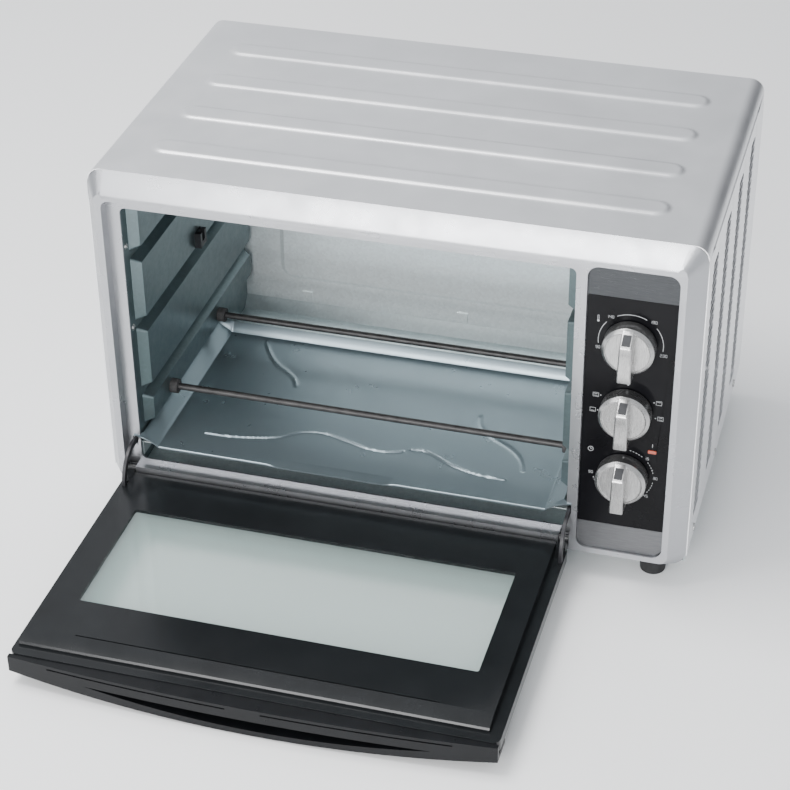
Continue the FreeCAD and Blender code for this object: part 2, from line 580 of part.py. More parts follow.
lip = prism("y", tr_y0, tr_y0 + tt, [
    (fx0, lip_z), (mid_x - tray_notch_w / 2 - 4.0, lip_z), (mid_x - tray_notch_w / 2, lip_z + tray_notch_h),
    (mid_x + tray_notch_w / 2, lip_z + tray_notch_h), (mid_x + tray_notch_w / 2 + 4.0, lip_z), (fx1, lip_z),
    (tr_x1, rim_z - tray_ear_h), (tr_x1 + ear_r, rim_z - tray_ear_h / 2), (tr_x1 + ear_r, rim_z),
    (tr_x1 - 1.0, rim_z), (fx1 - 0.5, tr_z), (fx0 + 0.5, tr_z), (tr_x0 + 1.0, rim_z),
    (tr_x0 - tray_ear, rim_z), (tr_x0 - tray_ear, rim_z - tray_ear_h / 2), (tr_x0, rim_z - tray_ear_h)])
tray = join([tray, rear_rim, lip])
save("crumb_tray", tray)

# ---- control panel: glossy panel between two steel plates ----
pp_y1 = py(panel_recess)
pa, pb = px(panel_left) + plate_gap, px(panel_right) - plate_gap
zt, zb = pz(panel_top) - plate_gap, pz(panel_bottom) + plate_gap
knob_centres = [(px(knob_x), pz(z)) for z in knob_z]


def panel_piece(z0, z1):
    """The part of the control panel's outline between two heights."""
    outline = slab("y", pp_y1 - panel_plate, pp_y1, pa, pb, zb, zt, panel_corner_r - plate_gap)
    return outline.common(box(pa, pb, pp_y1 - panel_plate, pp_y1, z0, z1))


shaft_holes = [cyl(knob_shaft_r + 1.0, (x, py(-20.0), z), (0, 1, 0), 60.0) for x, z in knob_centres]
lamp_cx, lamp_cz = px(lamp_x), pz(lamp_z)
lamp_hole = slab("y", py(-2.0), py(30.0), lamp_cx - lamp_w / 2, lamp_cx + lamp_w / 2,
                 lamp_cz - lamp_h / 2, lamp_cz + lamp_h / 2, 0.8)
z_low, z_high = pz(panel_bottom + plate_high), pz(panel_top - plate_high)
save("panel_plate_top", panel_piece(z_high + plate_gap, zt))
save("panel_plate_bottom", panel_piece(zb, z_low - plate_gap))
save("control_panel", panel_piece(z_low, z_high).cut(shaft_holes + [lamp_hole]))

# ---- mounting plate behind the bezel, its screws, and the switches ----
mp_y0, mp_t = py(bezel_depth), 1.2
mount_x0, mount_x1 = px(panel_left) - 1.0, px(panel_right) + 2.0
mount_z0, mount_z1 = pz(panel_bottom + 4.0), pz(panel_top - 2.0)
mount_screw_xz = [(x, z) for x in (mount_x0 + 4.0, mount_x1 - 4.0)
                  for z in (mount_z0 + 5.0, mount_z1 - 5.0)]
mount_screw_len = 6.0
mount_holes = [cyl(screw_r, (x, mp_y0 - mount_screw_len + mp_t, z), (0, 1, 0), mount_screw_len + 4.0)
               for x, z in mount_screw_xz]
bezel = bezel.cut(mount_holes + [lamp_hole]).removeSplitter()
save("front_bezel", bezel)
plate = box(mount_x0, mount_x1, mp_y0, mp_y0 + mp_t, mount_z0, mount_z1)
save("switch_plate", plate.cut(mount_holes + shaft_holes + [lamp_hole]))
save("switch_plate_screws", [pan_screw((x, mp_y0 + mp_t, z), (0, -1, 0), mount_screw_len)
                             for x, z in mount_screw_xz])

sy0 = mp_y0 + mp_t
body_bore = knob_shaft_r + shaft_clear
shaft_reach = panel_recess + knob_shaft_in
for name, (cx, cz), deep in (("thermostat", knob_centres[0], switch_d - 6.0),
                             ("function_switch", knob_centres[1], switch_d),
                             ("timer", knob_centres[2], switch_d + 8.0)):
    hw, hh = switch_w / 2, switch_h / 2
    body = slab("y", sy0, sy0 + deep, cx - hw, cx + hw, cz - hh, cz + hh, 4.0)
    if name == "timer":
        bell_r, bell_t = 17.0, 5.0
        body = cyl(hw, (cx, sy0, cz), (0, 1, 0), deep).fuse(
            [cyl(bell_r, (cx, sy0 + deep, cz), (0, 1, 0), bell_t)])
    if name == "thermostat":
        body = body.fuse(box(cx - 6.0, cx + 6.0, sy0 + deep, sy0 + deep + 6.0, cz - 16.0, cz + 16.0))
    blades = [box(cx + k * 12.0 - 0.4, cx + k * 12.0 + 0.4, sy0 + 6.0, sy0 + deep - 6.0,
                  cz - hh - 7.0, cz - hh + 6.0) for k in (-1, 0, 1)]
    body = body.fuse(blades)
    body = body.cut(cyl(body_bore, (cx, sy0 - 2.0, cz), (0, 1, 0), shaft_reach))
    save(name, body.removeSplitter())

lens = slab("y", pp_y1 - panel_plate - 0.6, py(bezel_depth) + mp_t, lamp_cx - lamp_w / 2 + 0.15,
            lamp_cx + lamp_w / 2 - 0.15, lamp_cz - lamp_h / 2 + 0.15, lamp_cz + lamp_h / 2 - 0.15, 0.7)
save("indicator_lens", lens)
neon_r = 3.0
save("indicator_lamp", cyl(neon_r, (lamp_cx, sy0 + 0.4, lamp_cz), (0, 1, 0), 14.0).fuse(
    cone(neon_r, neon_r * 0.5, (lamp_cx, sy0 + 14.4, lamp_cz), (0, 1, 0), 3.0)).removeSplitter())

# ---- terminal block and wiring on the base, out of sight ----
tb_x0, tb_x1 = px(body_width - 75.0), px(body_width - 35.0)
tb_y0, tb_y1 = rear_y - 62.0, rear_y - 44.0
tb_z0, tb_z1 = base_floor + sheet, base_floor + sheet + 14.0
block = box(tb_x0, tb_x1, tb_y0, tb_y1, tb_z0, tb_z1)
block = block.cut([cyl(1.8, (tb_x0 + 6.0 + 9.3 * i, tb_y0 + 5.0 + 8.0 * j, tb_z1 - 7.0), (0, 0, 1), 8.0)
                   for i in range(4) for j in range(2)])
save("terminal_block", block)


def wire(points, r):
    """Insulated lead: straight runs with balls at the bends."""
    parts = []
    for p, q in zip(points, points[1:]):
        a, b = V(*p), V(*q)
        parts.append(Part.makeCylinder(r, (b - a).Length, a, b - a))
    parts += [Part.makeSphere(r, V(*p)) for p in points[1:-1]]
    return join(parts)


wire_r = 1.3
wire_x = px(body_width - 10.0)
wires = []
for i, (cx, cz) in enumerate(knob_centres):
    start = (cx + 12.0, sy0 + 20.0, cz - switch_h / 2 - 9.0)
    drop_y = sy0 + 56.0 + 7.0 * i
    end = (tb_x0 + 6.0 + 9.3 * i, tb_y0 - wire_r - 6.0, tb_z0 + 5.0)
    wires.append(wire([start, (wire_x - 6.0 * i, start[1], start[2]), (wire_x - 6.0 * i, drop_y, start[2]),
                       (wire_x - 6.0 * i, drop_y, end[2]), (end[0], drop_y + 6.0, end[2]), end], wire_r))
save("wiring", wires)

# ---- knobs, pointing to twelve o'clock ----
kr = knob_dia / 2
k_face_y, k_back_y = py(-knob_face), pp_y1 - panel_plate - knob_skirt_gap
bar_out_y = k_face_y - knob_bar_out
rim_bevel, dish = 1.6, 0.5
for name, (cx, cz) in zip(("knob_temperature", "knob_function", "knob_timer"), knob_centres):
    disc = cyl(kr, (cx, k_face_y + rim_bevel, cz), (0, 1, 0), k_back_y - k_face_y - rim_bevel)
    disc = disc.fuse(cone(kr - rim_bevel, kr, (cx, k_face_y, cz), (0, 1, 0), rim_bevel))
    disc = disc.cut(cyl(kr - rim_bevel - 1.4, (cx, k_face_y - 1.0, cz), (0, 1, 0), 1.0 + dish))
    disc = disc.cut(cyl(kr - 2.2, (cx, k_back_y - 7.0, cz), (0, 1, 0), 8.0))
    half = knob_bar_w / 2
    ztop, zbot = cz + kr + knob_bar_over, cz - kr - knob_bar_over
    bar = prism("x", cx - half, cx + half, [
        (k_face_y + dish, ztop - 1.2), (bar_out_y + 1.0, ztop - 8.6), (bar_out_y, ztop - 9.8),
        (bar_out_y, zbot + 1.4), (bar_out_y + 1.4, zbot), (k_back_y - 8.0, zbot),
        (k_back_y - 8.0, ztop - 1.2)])
    hub = cyl(6.5, (cx, k_back_y - 7.5, cz), (0, 1, 0), 6.8).cut(
        cyl(knob_shaft_r, (cx, k_back_y - 8.0, cz), (0, 1, 0), 10.0))
    knob = join([disc, bar, hub])
    save(name, knob)
    shaft_y1 = sy0 - 2.0 + shaft_reach - 1.0
    shaft = cyl(knob_shaft_r, (cx, k_back_y - 6.6, cz), (0, 1, 0), shaft_y1 - k_back_y + 6.6)
    save(name.replace("knob", "shaft"), shaft)

# ---- door, drawn closed, laid open about the pivot ----
door = {}
d_x0, d_x1 = px(door_left), px(door_right)
shell_y1 = py(-door_gap)
shell_y0 = shell_y1 - door_shell_t
d_z0, d_z1 = pz(door_bottom), pz(door_top)
w_x0, w_x1, w_z0, w_z1 = px(window_left), px(window_right), pz(window_bottom), pz(window_top)
om = outer_window_margin
shell = slab("y", shell_y0, shell_y1, d_x0, d_x1, d_z0, d_z1, door_corner_r)
edge = frustum("y", shell_y0, (d_x0, d_x1, d_z0, d_z1), shell_y0 - 1.2,
               inset((d_x0, d_x1, d_z0, d_z1), 1.6), door_corner_r, door_corner_r - 1.6)
shell = shell.fuse(edge)
shell_front = shell_y0 - 1.2
glass_rect = (w_x0 - om - 10.0, w_x1 + om + 10.0, w_z0 - 26.0, w_z1 + 30.0)
seat = slab("y", shell_front - 1.0, shell_front + outer_glass_t, *inset(glass_rect, -glass_gap), 4.0)
mouth = slab("y", shell_front - 1.0, shell_y1 + 1.0, w_x0 - om, w_x1 + om, w_z0 - om, w_z1 + om, 3.0)
shell = shell.cut([seat, mouth])
door["door_outer_glass"] = slab("y", shell_front, shell_front + outer_glass_t, *glass_rect, 3.7)

far = 100.0
arm_root_y = shell_y1 - 5.5
lugs = []
for a, b in lug_spans:
    lug = cyl(lug_r, (a, pivot[1], pivot[2]), (1, 0, 0), b - a)
    lug = lug.fuse(box(a, b, pivot[1] - lug_r, pivot[1], pivot[2], d_z0 + 4.0))
    lug = lug.fuse(box(a, b, shell_y1 - 0.5, pivot[1], d_z0, d_z0 + 9.0))
    lugs.append(lug)
pin_bores = [cyl(pin_r + pin_clear, (a - 2.0, pivot[1], pivot[2]), (1, 0, 0), b - a + 4.0)
             for a, b in lug_spans]
arms = []
for a, b in arm_spans:
    ring = cyl(arm_r + arm_w / 2, (a, pivot[1], pivot[2]), (1, 0, 0), b - a).cut(
        cyl(arm_r - arm_w / 2, (a - 1.0, pivot[1], pivot[2]), (1, 0, 0), b - a + 2.0))
    # Closed, the arm runs from the shell above the pivot back and down behind the bezel
    end = math.radians(arm_end_angle - door_open_angle)
    wedge = prism("x", a - 2.0, b + 2.0, [
        (pivot[1], pivot[2]), (pivot[1] + far * math.cos(end), pivot[2] + far * math.sin(end)),
        (pivot[1] + far, pivot[2] + far), (arm_root_y, pivot[2] + far), (arm_root_y, pivot[2])])
    arms.append(ring.common(wedge))
arm_notches = [box(a - 0.3, b + 0.3, shell_y1, pivot[1] + 6.0, pivot[2] + arm_r - arm_w / 2 - 3.0,
                   pivot[2] + arm_r + arm_w / 2 + 0.3) for a, b in arm_spans]
shell = join([shell] + lugs).cut(pin_bores + arms)

# Inner frame: black panel with a sloped top edge, the inner glass let into its chamber side
i_x0, i_x1, i_z0, i_z1 = px(inner_left), px(inner_right), pz(inner_bottom), pz(inner_top)
in_y0 = shell_y1
in_y1 = in_y0 + inner_frame_t
profile = [(in_y0, i_z0), (in_y1 - 1.0, i_z0), (in_y1, i_z0 + 1.0), (in_y1, i_z1 - inner_top_slope),
           (in_y1 - 2.6, i_z1 - 1.0), (in_y1 - 4.2, i_z1), (in_y0, i_z1)]
inner = prism("x", i_x0, i_x1, profile)
inner = inner.cut(slab("y", in_y0 - 1.0, in_y1 + 1.0, w_x0, w_x1, w_z0, w_z1, 2.0))
g_margin = 12.0
g_rect = (w_x0 - g_margin, w_x1 + g_margin, w_z0 - g_margin, w_z1 + g_margin)
inner = inner.cut(slab("y", in_y0 - 1.0, in_y0 + inner_glass_t, *inset(g_rect, -glass_gap), 3.0))
door["door_inner_glass"] = slab("y", in_y0, in_y0 + inner_glass_t, *g_rect, 2.7)
slot_line = box(w_x0 + 15.0, w_x1 - 20.0, in_y1 - 1.2, in_y1 + 1.0, i_z1 - inner_top_slope - 1.6,
                i_z1 - inner_top_slope - 0.4)
inner = inner.cut([slot_line] + arm_notches + [
    box(a - 0.5, b + 0.5, in_y0 - 1.0, in_y1 + 1.0, i_z0 - 1.0, d_z0 + 9.5) for a, b in lug_spans])
door["door_inner_frame"] = inner

door["hinge_arm_left"], door["hinge_arm_right"] = arms

# ---- handle: a bowed bar across the top of the door ----
h_x0, h_x1 = d_x0, d_x1
h_mid = (h_x0 + h_x1) / 2
h_z0 = pz(handle_top_end - handle_high)
handle_slots = [(h_x0 + handle_slot_margin, h_mid - handle_slot_bridge / 2),
                (h_mid + handle_slot_bridge / 2, h_x1 - handle_slot_margin)]


def bow(y_end, y_mid, x0, x1):
    """Arc through two ends and a middle, in plan."""
    return Part.Arc(V(x0, y_end, 0), V((x0 + x1) / 2, y_mid, 0), V(x1, y_end, 0)).toShape()


def crescent(back_y, end_y, mid_y, x0, x1, z0, z1):
    arc = bow(end_y, mid_y, x0, x1)
    lines = [Part.LineSegment(V(x1, end_y, 0), V(x1, back_y, 0)).toShape(),
             Part.LineSegment(V(x1, back_y, 0), V(x0, back_y, 0)).toShape(),
             Part.LineSegment(V(x0, back_y, 0), V(x0, end_y, 0)).toShape()]
    f = Part.Face(Part.Wire([arc] + lines))
    f.translate(V(0, 0, z0))
    return f.extrude(V(0, 0, z1 - z0))


handle = crescent(shell_front, shell_front - handle_out_end, shell_front - handle_out_mid, h_x0, h_x1,
                  h_z0, pz(handle_top_mid) + 1.0)
over = crescent(shell_y1 - 1.0, shell_front, shell_front - 0.01, h_x0, h_x1, d_z1 + 0.01,
                pz(handle_top_mid) + 1.0)
handle = handle.fuse(over)
grip = crescent(shell_front - 1.5, shell_front - 1.6, shell_front - 1.5 - grip_depth_mid, px(grip_left),
                px(grip_right), h_z0 - 1.0, pz(handle_top_mid) + 2.0)
crown = Part.Arc(V(h_x0, 0, pz(handle_top_end)), V(h_mid, 0, pz(handle_top_mid)),
                 V(h_x1, 0, pz(handle_top_end))).toShape()
far_z = pz(handle_top_mid) + 20.0
crown_lines = [Part.LineSegment(V(h_x1, 0, pz(handle_top_end)), V(h_x1, 0, far_z)).toShape(),
               Part.LineSegment(V(h_x1, 0, far_z), V(h_x0, 0, far_z)).toShape(),
               Part.LineSegment(V(h_x0, 0, far_z), V(h_x0, 0, pz(handle_top_end))).toShape()]
crown_cut = Part.Face(Part.Wire([crown] + crown_lines))
crown_cut.translate(V(0, py(-60.0), 0))
crown_cut = crown_cut.extrude(V(0, 80.0, 0))
handle = handle.cut([grip, crown_cut])
# Two long shallow slots follow the curved edge
slot_face = crown_cut.copy()
slot_face.translate(V(0, 0, -handle_slot_in))
slot_y = shell_y0 + door_shell_t / 2
for a, b in handle_slots:
    handle = handle.cut(slot_face.common(box(a, b, slot_y, slot_y + handle_slot_h, h_z0, far_z)))
handle_screw_x = (px(grip_left) / 2 + h_x0 / 2, px(grip_right) / 2 + h_x1 / 2)
handle_screw_z = i_z1 - screw_head_r - head_clear - 0.5
handle_screw_len = 12.0
hs_y = shell_y1 - 3.0
screw_bores = [cyl(screw_r, (x, hs_y - handle_screw_len, handle_screw_z), (0, 1, 0), handle_screw_len)
               for x in handle_screw_x]
head_bores = [cyl(screw_head_r + head_clear, (x, hs_y, handle_screw_z), (0, 1, 0), 20.0)
              for x in handle_screw_x]
handle = handle.cut(screw_bores).removeSplitter()
shell = shell.cut(screw_bores + head_bores)
door["door_outer_frame"] = shell.removeSplitter()
door["door_handle"] = handle
door["handle_screws"] = Part.makeCompound([
    pan_screw((x, hs_y, handle_screw_z), (0, -1, 0), handle_screw_len) for x in handle_screw_x])
# Screws that hold the inner frame: driven from the front, with their heads under the outer glass
seat_y = shell_front + outer_glass_t
frame_screw_y = seat_y + screw_head_h + glass_gap
frame_screw_len = in_y0 - frame_screw_y + inner_frame_t - 1.5
frame_screw_xz = [(x, z) for x in (w_x0 - 18.5, w_x1 + 18.5) for z in (w_z0, w_z1)]
frame_bores = [cyl(screw_r, (x, frame_screw_y, z), (0, 1, 0), frame_screw_len) for x, z in frame_screw_xz]
frame_heads = [cyl(screw_head_r + head_clear, (x, seat_y - 1.0, z), (0, 1, 0),
                   frame_screw_y - seat_y + 1.0) for x, z in frame_screw_xz]
door["door_inner_frame"] = door["door_inner_frame"].cut(frame_bores).removeSplitter()
door["door_outer_frame"] = door["door_outer_frame"].cut(frame_bores + frame_heads)
door["door_screws"] = Part.makeCompound([pan_screw((x, frame_screw_y, z), (0, 1, 0), frame_screw_len)
                                         for x, z in frame_screw_xz])
for name, shape in door.items():
    shape.rotate(V(0, pivot[1], pivot[2]), V(1, 0, 0), door_open_angle)
    save(name, shape)
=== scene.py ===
import json
import math

import bpy
from mathutils import Matrix, Vector


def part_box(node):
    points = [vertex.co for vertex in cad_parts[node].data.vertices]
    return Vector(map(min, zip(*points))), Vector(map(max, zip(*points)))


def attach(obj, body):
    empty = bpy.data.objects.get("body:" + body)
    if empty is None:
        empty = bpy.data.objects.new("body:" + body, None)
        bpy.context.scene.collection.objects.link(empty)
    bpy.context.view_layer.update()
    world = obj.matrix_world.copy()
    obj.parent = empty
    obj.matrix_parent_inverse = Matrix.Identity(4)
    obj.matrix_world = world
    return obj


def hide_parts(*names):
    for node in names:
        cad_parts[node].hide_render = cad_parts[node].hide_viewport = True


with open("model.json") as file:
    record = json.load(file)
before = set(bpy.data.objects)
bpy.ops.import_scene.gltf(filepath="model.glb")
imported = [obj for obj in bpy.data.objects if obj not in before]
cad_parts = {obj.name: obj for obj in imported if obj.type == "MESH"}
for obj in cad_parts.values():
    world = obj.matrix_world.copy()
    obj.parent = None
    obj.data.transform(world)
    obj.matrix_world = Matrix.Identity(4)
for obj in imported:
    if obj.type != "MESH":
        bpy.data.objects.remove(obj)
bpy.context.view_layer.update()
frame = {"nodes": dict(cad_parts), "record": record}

# Countertop toaster oven. Sizes below are in millimetres and are turned into metres when a mesh is made.
MM = 0.001


def corners(node):
    """Lowest and highest corner of a CAD node, in millimetres."""
    lo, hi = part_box(node)
    return [v / MM for v in lo], [v / MM for v in hi]


# ---- camera: a portrait lens above the front left corner of the oven ----
camera_place = (0.41158, -1.40945, 1.12384)
camera_yaw, camera_pitch, camera_roll = (math.radians(a) for a in (-16.30, -33.93, -0.71))
camera_lens = 97.93
cam_data = bpy.data.cameras.new("camera")
cam_data.lens = camera_lens
cam_data.sensor_width = 36.0
camera = bpy.data.objects.new("camera", cam_data)
bpy.context.scene.collection.objects.link(camera)
bpy.context.scene.camera = camera
look = Vector((math.sin(camera_yaw) * math.cos(camera_pitch),
               math.cos(camera_yaw) * math.cos(camera_pitch), math.sin(camera_pitch)))
side = Vector((math.cos(camera_yaw), -math.sin(camera_yaw), 0.0))
above = side.cross(look)
cam_x = side * math.cos(camera_roll) + above * math.sin(camera_roll)
cam_y = above * math.cos(camera_roll) - side * math.sin(camera_roll)
camera.matrix_world = Matrix.Translation(camera_place) @ Matrix((cam_x, cam_y, -look)).transposed().to_4x4()


# ---- light: soft boxes overhead, at the front left and in front; the sky is dark towards the right rear ----
world = bpy.data.worlds.new("studio")
bpy.context.scene.world = world
world.use_nodes = True
sky = world.node_tree
sky_coord = sky.nodes.new("ShaderNodeTexCoord")
sky_dot = sky.nodes.new("ShaderNodeVectorMath")
sky_dot.operation = "DOT_PRODUCT"
sky_dot.inputs[1].default_value = (0.66, 0.75, 0.0)
sky_ramp = sky.nodes.new("ShaderNodeValToRGB")
sky_ramp.color_ramp.elements[0].position, sky_ramp.color_ramp.elements[1].position = 0.45, 0.92
sky_ramp.color_ramp.elements[0].color = (0.93, 0.96, 1.0, 1.0)
sky_ramp.color_ramp.elements[1].color = (0.10, 0.105, 0.115, 1.0)
sky.links.new(sky_coord.outputs["Generated"], sky_dot.inputs[0])
sky.links.new(sky_dot.outputs["Value"], sky_ramp.inputs["Fac"])
sky.links.new(sky_ramp.outputs["Color"], sky.nodes["Background"].inputs["Color"])
sky.nodes["Background"].inputs["Strength"].default_value = 1.05


def area_light(name, place, target, size, power, tint=(1.0, 1.0, 1.0)):
    data = bpy.data.lights.new(name, "AREA")
    data.shape = "RECTANGLE"
    data.size, data.size_y = size
    data.energy = power
    data.color = tint
    lamp = bpy.data.objects.new(name, data)
    bpy.context.scene.collection.objects.link(lamp)
    lamp.location = place
    lamp.rotation_mode = "QUATERNION"
    lamp.rotation_quaternion = (Vector(target) - Vector(place)).to_track_quat("-Z", "Y")


area_light("overhead", (-0.75, -0.15, 2.2), (0, 0, 0.1), (1.2, 1.0), 52.0)
area_light("front_left", (-1.5, -1.7, 1.5), (0, 0, 0.15), (1.2, 1.2), 14.0)
area_light("front", (-0.25, -2.2, 0.85), (0, 0.1, 0.2), (1.3, 0.8), 50.0)


# ---- material nodes ----
class Paint:
    """A Principled material with helpers for procedural detail in object space."""

    def __init__(self, name, color, metallic=0.0, rough=0.4, **sockets):
        self.mat = bpy.data.materials.new(name)
        self.mat.use_nodes = True
        self.tree = self.mat.node_tree
        self.shader = self.tree.nodes["Principled BSDF"]
        self.color = color
        self.rough = rough
        self.set("Base Color", (*color, 1.0))
        self.set("Metallic", metallic)
        self.set("Roughness", rough)
        for socket, value in sockets.items():
            self.set(socket.replace("_", " "), value)

    def set(self, socket, value):
        self.shader.inputs[socket].default_value = value

    def new(self, kind, **inputs):
        node = self.tree.nodes.new("ShaderNode" + kind)
        for socket, value in inputs.items():
            node.inputs[socket.replace("_", " ")].default_value = value
        return node

    def link(self, a, b):
        self.tree.links.new(a, b)

    def place(self, stretch=(1.0, 1.0, 1.0)):
        coord = self.new("TexCoord")
        mapping = self.new("Mapping", Scale=stretch)
        self.link(coord.outputs["Object"], mapping.inputs["Vector"])
        return mapping.outputs["Vector"]

    def noise(self, scale, detail=4.0, stretch=(1.0, 1.0, 1.0), rough=0.55):
        node = self.new("TexNoise", Scale=scale, Detail=detail, Roughness=rough)
        self.link(self.place(stretch), node.inputs["Vector"])
        return node.outputs["Fac"]

    def cells(self, scale, stretch=(1.0, 1.0, 1.0)):
        node = self.new("TexVoronoi", Scale=scale)
        self.link(self.place(stretch), node.inputs["Vector"])
        return node.outputs["Color"]

    def remap(self, value, low, high, a=0.3, b=0.7):
        node = self.new("MapRange")
        self.link(value, node.inputs["Value"])
        for i, v in enumerate((a, b, low, high)):
            node.inputs[i + 1].default_value = v
        return node.outputs["Result"]

    def tint(self, value, spread=0.1, a=0.3, b=0.7, other=None):
        """Base colour runs between a darker and a lighter shade as value runs from a to b."""
        node = self.new("ValToRGB")
        ramp = node.color_ramp
        ramp.elements[0].position, ramp.elements[1].position = a, b
        ramp.elements[0].color = (*[c * (1 - spread) for c in self.color], 1.0)
        ramp.elements[1].color = (*(other or [min(1.0, c * (1 + spread)) for c in self.color]), 1.0)
        self.link(value, node.inputs["Fac"])
        self.link(node.outputs["Color"], self.shader.inputs["Base Color"])
        return self

    def polish(self, value, spread=0.08, a=0.3, b=0.7):
        """Roughness varies round its own value."""
        varied = self.remap(value, self.rough - spread, self.rough + spread, a, b)
        self.link(varied, self.shader.inputs["Roughness"])
        return self

    def bump(self, value, depth, strength=1.0):
        """Height texture; a second call adds to the first. Depth is in millimetres."""
        node = self.new("Bump", Strength=strength, Distance=depth * MM)
        self.link(value, node.inputs["Height"])
        before = self.shader.inputs["Normal"].links
        if before:
            self.link(before[0].from_socket, node.inputs["Normal"])
        self.link(node.outputs["Normal"], self.shader.inputs["Normal"])
        return self


MATERIALS = {}


def finish_of(name, color, *args, **kwargs):
    MATERIALS[name] = Paint(name, color, *args, **kwargs)
    return MATERIALS[name]


brush_x, brush_z = (2.0, 60.0, 60.0), (60.0, 60.0, 2.0)
p = finish_of("cover_paint", (0.84, 0.845, 0.86), 0.92, 0.35)
p.tint(p.noise(9.0, 6.0), 0.05).polish(p.noise(30.0), 0.05).bump(p.noise(2600.0, 2.0), 0.02, 0.5)
p.bump(p.noise(14.0, 3.0), 0.25, 0.35)
p = finish_of("bezel_paint", (0.40, 0.407, 0.425), 0.92, 0.30)
p.tint(p.noise(12.0, 6.0), 0.04).polish(p.noise(40.0), 0.05).bump(p.noise(3000.0, 2.0), 0.015, 0.5)
p = finish_of("galvanised", (0.66, 0.735, 0.745), 0.75, 0.34)
p.tint(p.cells(380.0), 0.05, 0.1, 0.9).polish(p.noise(120.0), 0.06).bump(p.noise(420.0, 3.0), 0.012, 0.3)
# Darker copy of the galvanised steel for the chamber's side walls and ceiling: painted shade.
p = finish_of("galvanised_painted_shade", (0.155, 0.20, 0.21), 0.8, 0.34)
p.tint(p.cells(380.0), 0.05, 0.1, 0.9).polish(p.noise(120.0), 0.06).bump(p.noise(420.0, 3.0), 0.012, 0.3)
# Lighter, less metallic copy of the galvanised steel for the chamber's back wall: painted light.
p = finish_of("galvanised_painted_light", (0.86, 0.92, 0.93), 0.45, 0.34)
p.tint(p.cells(420.0), 0.06, 0.1, 0.9).polish(p.noise(120.0), 0.06).bump(p.noise(420.0, 3.0), 0.012, 0.3)
p = finish_of("tray_steel", (0.265, 0.325, 0.355), 0.8, 0.30)
p.tint(p.noise(14.0, 2.0), 0.04, 0.2, 0.8).polish(p.noise(40.0, 3.0), 0.03)
p.bump(p.noise(900.0, 2.0), 0.012, 0.3)
p = finish_of("rod_sheath", (0.045, 0.043, 0.043), 0.4, 0.42)
p.tint(p.noise(150.0, 6.0), 0.35).polish(p.noise(300.0), 0.12).bump(p.noise(1500.0, 4.0), 0.03, 0.6)
p = finish_of("ceramic", (0.045, 0.043, 0.043), 0.0, 0.75)
p.tint(p.noise(500.0, 4.0), 0.3).bump(p.noise(1200.0, 4.0), 0.05, 0.6)
p = finish_of("panel_steel", (0.15, 0.152, 0.158), 0.85, 0.38, Anisotropic=0.4)
p.tint(p.noise(60.0, 8.0, brush_x), 0.16).polish(p.noise(70.0, 8.0, brush_x), 0.10)
p.bump(p.noise(75.0, 8.0, brush_x), 0.02, 0.5)
p = finish_of("panel_steel_dark", (0.062, 0.065, 0.069), 0.85, 0.36, Anisotropic=0.4)
p.tint(p.noise(60.0, 8.0, brush_x), 0.16).polish(p.noise(70.0, 8.0, brush_x), 0.10)
p.bump(p.noise(75.0, 8.0, brush_x), 0.02, 0.5)
p = finish_of("panel_black", (0.004, 0.004, 0.005), 0.0, 0.16, Specular_IOR_Level=0.12)
p.tint(p.noise(35.0), 0.25).polish(p.noise(25.0, 6.0), 0.03).bump(p.noise(900.0, 2.0), 0.004, 0.4)
p = finish_of("knob_silver", (0.42, 0.417, 0.413), 0.95, 0.26, Anisotropic=0.5)
p.tint(p.noise(60.0, 8.0, brush_z), 0.22).polish(p.noise(70.0, 8.0, brush_z), 0.10)
p.bump(p.noise(80.0, 8.0, brush_z), 0.02, 0.6)
p = finish_of("door_black", (0.009, 0.010, 0.011), 0.0, 0.22, Specular_IOR_Level=0.32)
p.tint(p.noise(30.0, 5.0), 0.2).polish(p.noise(50.0, 3.0), 0.025).bump(p.noise(1600.0, 2.0), 0.008, 0.4)
p = finish_of("handle_black", (0.005, 0.0055, 0.0065), 0.0, 0.34, Specular_IOR_Level=0.22)
p.tint(p.noise(40.0, 5.0), 0.2).polish(p.noise(60.0, 5.0), 0.08).bump(p.noise(2400.0, 3.0), 0.03, 0.6)
p = finish_of("door_glass", (0.42, 0.58, 0.55), 0.0, 0.03, Alpha=0.15, IOR=1.5, Specular_IOR_Level=1.0)
p.polish(p.noise(18.0, 6.0), 0.02).bump(p.noise(12.0, 2.0), 0.01, 0.2)
p = finish_of("rubber", (0.014, 0.014, 0.015), 0.0, 0.72)
p.tint(p.noise(200.0), 0.3).bump(p.noise(1500.0, 4.0), 0.04, 0.6)
p = finish_of("screw_steel", (0.55, 0.55, 0.545), 0.95, 0.30)
p.tint(p.noise(300.0), 0.12).polish(p.noise(400.0), 0.10).bump(p.noise(1500.0), 0.02, 0.4)
p = finish_of("hinge_black", (0.022, 0.022, 0.025), 0.3, 0.42)
p.tint(p.noise(150.0), 0.3).polish(p.noise(200.0), 0.10).bump(p.noise(1500.0, 4.0), 0.03, 0.5)
p = finish_of("phenolic", (0.07, 0.045, 0.03), 0.0, 0.45)
p.tint(p.noise(300.0, 6.0), 0.35).bump(p.noise(900.0, 4.0), 0.03, 0.5)
p = finish_of("lamp_red", (0.42, 0.07, 0.035), 0.0, 0.18, Coat_Weight=0.4)
p.tint(p.noise(400.0), 0.15).bump(p.noise(900.0), 0.02, 0.4)
p = finish_of("wire_sleeve", (0.62, 0.59, 0.52), 0.0, 0.85)
p.tint(p.cells(1500.0), 0.25, 0.1, 0.9).bump(p.cells(1500.0), 0.2, 0.7)
p = finish_of("print_white", (0.50, 0.51, 0.52), 0.0, 0.5)
p.tint(p.noise(900.0), 0.08)
p = finish_of("facet_dark", (0.03, 0.031, 0.034), 0.3, 0.50)
p.tint(p.noise(60.0, 8.0, brush_x), 0.3).bump(p.noise(75.0, 8.0, brush_x), 0.02, 0.6)


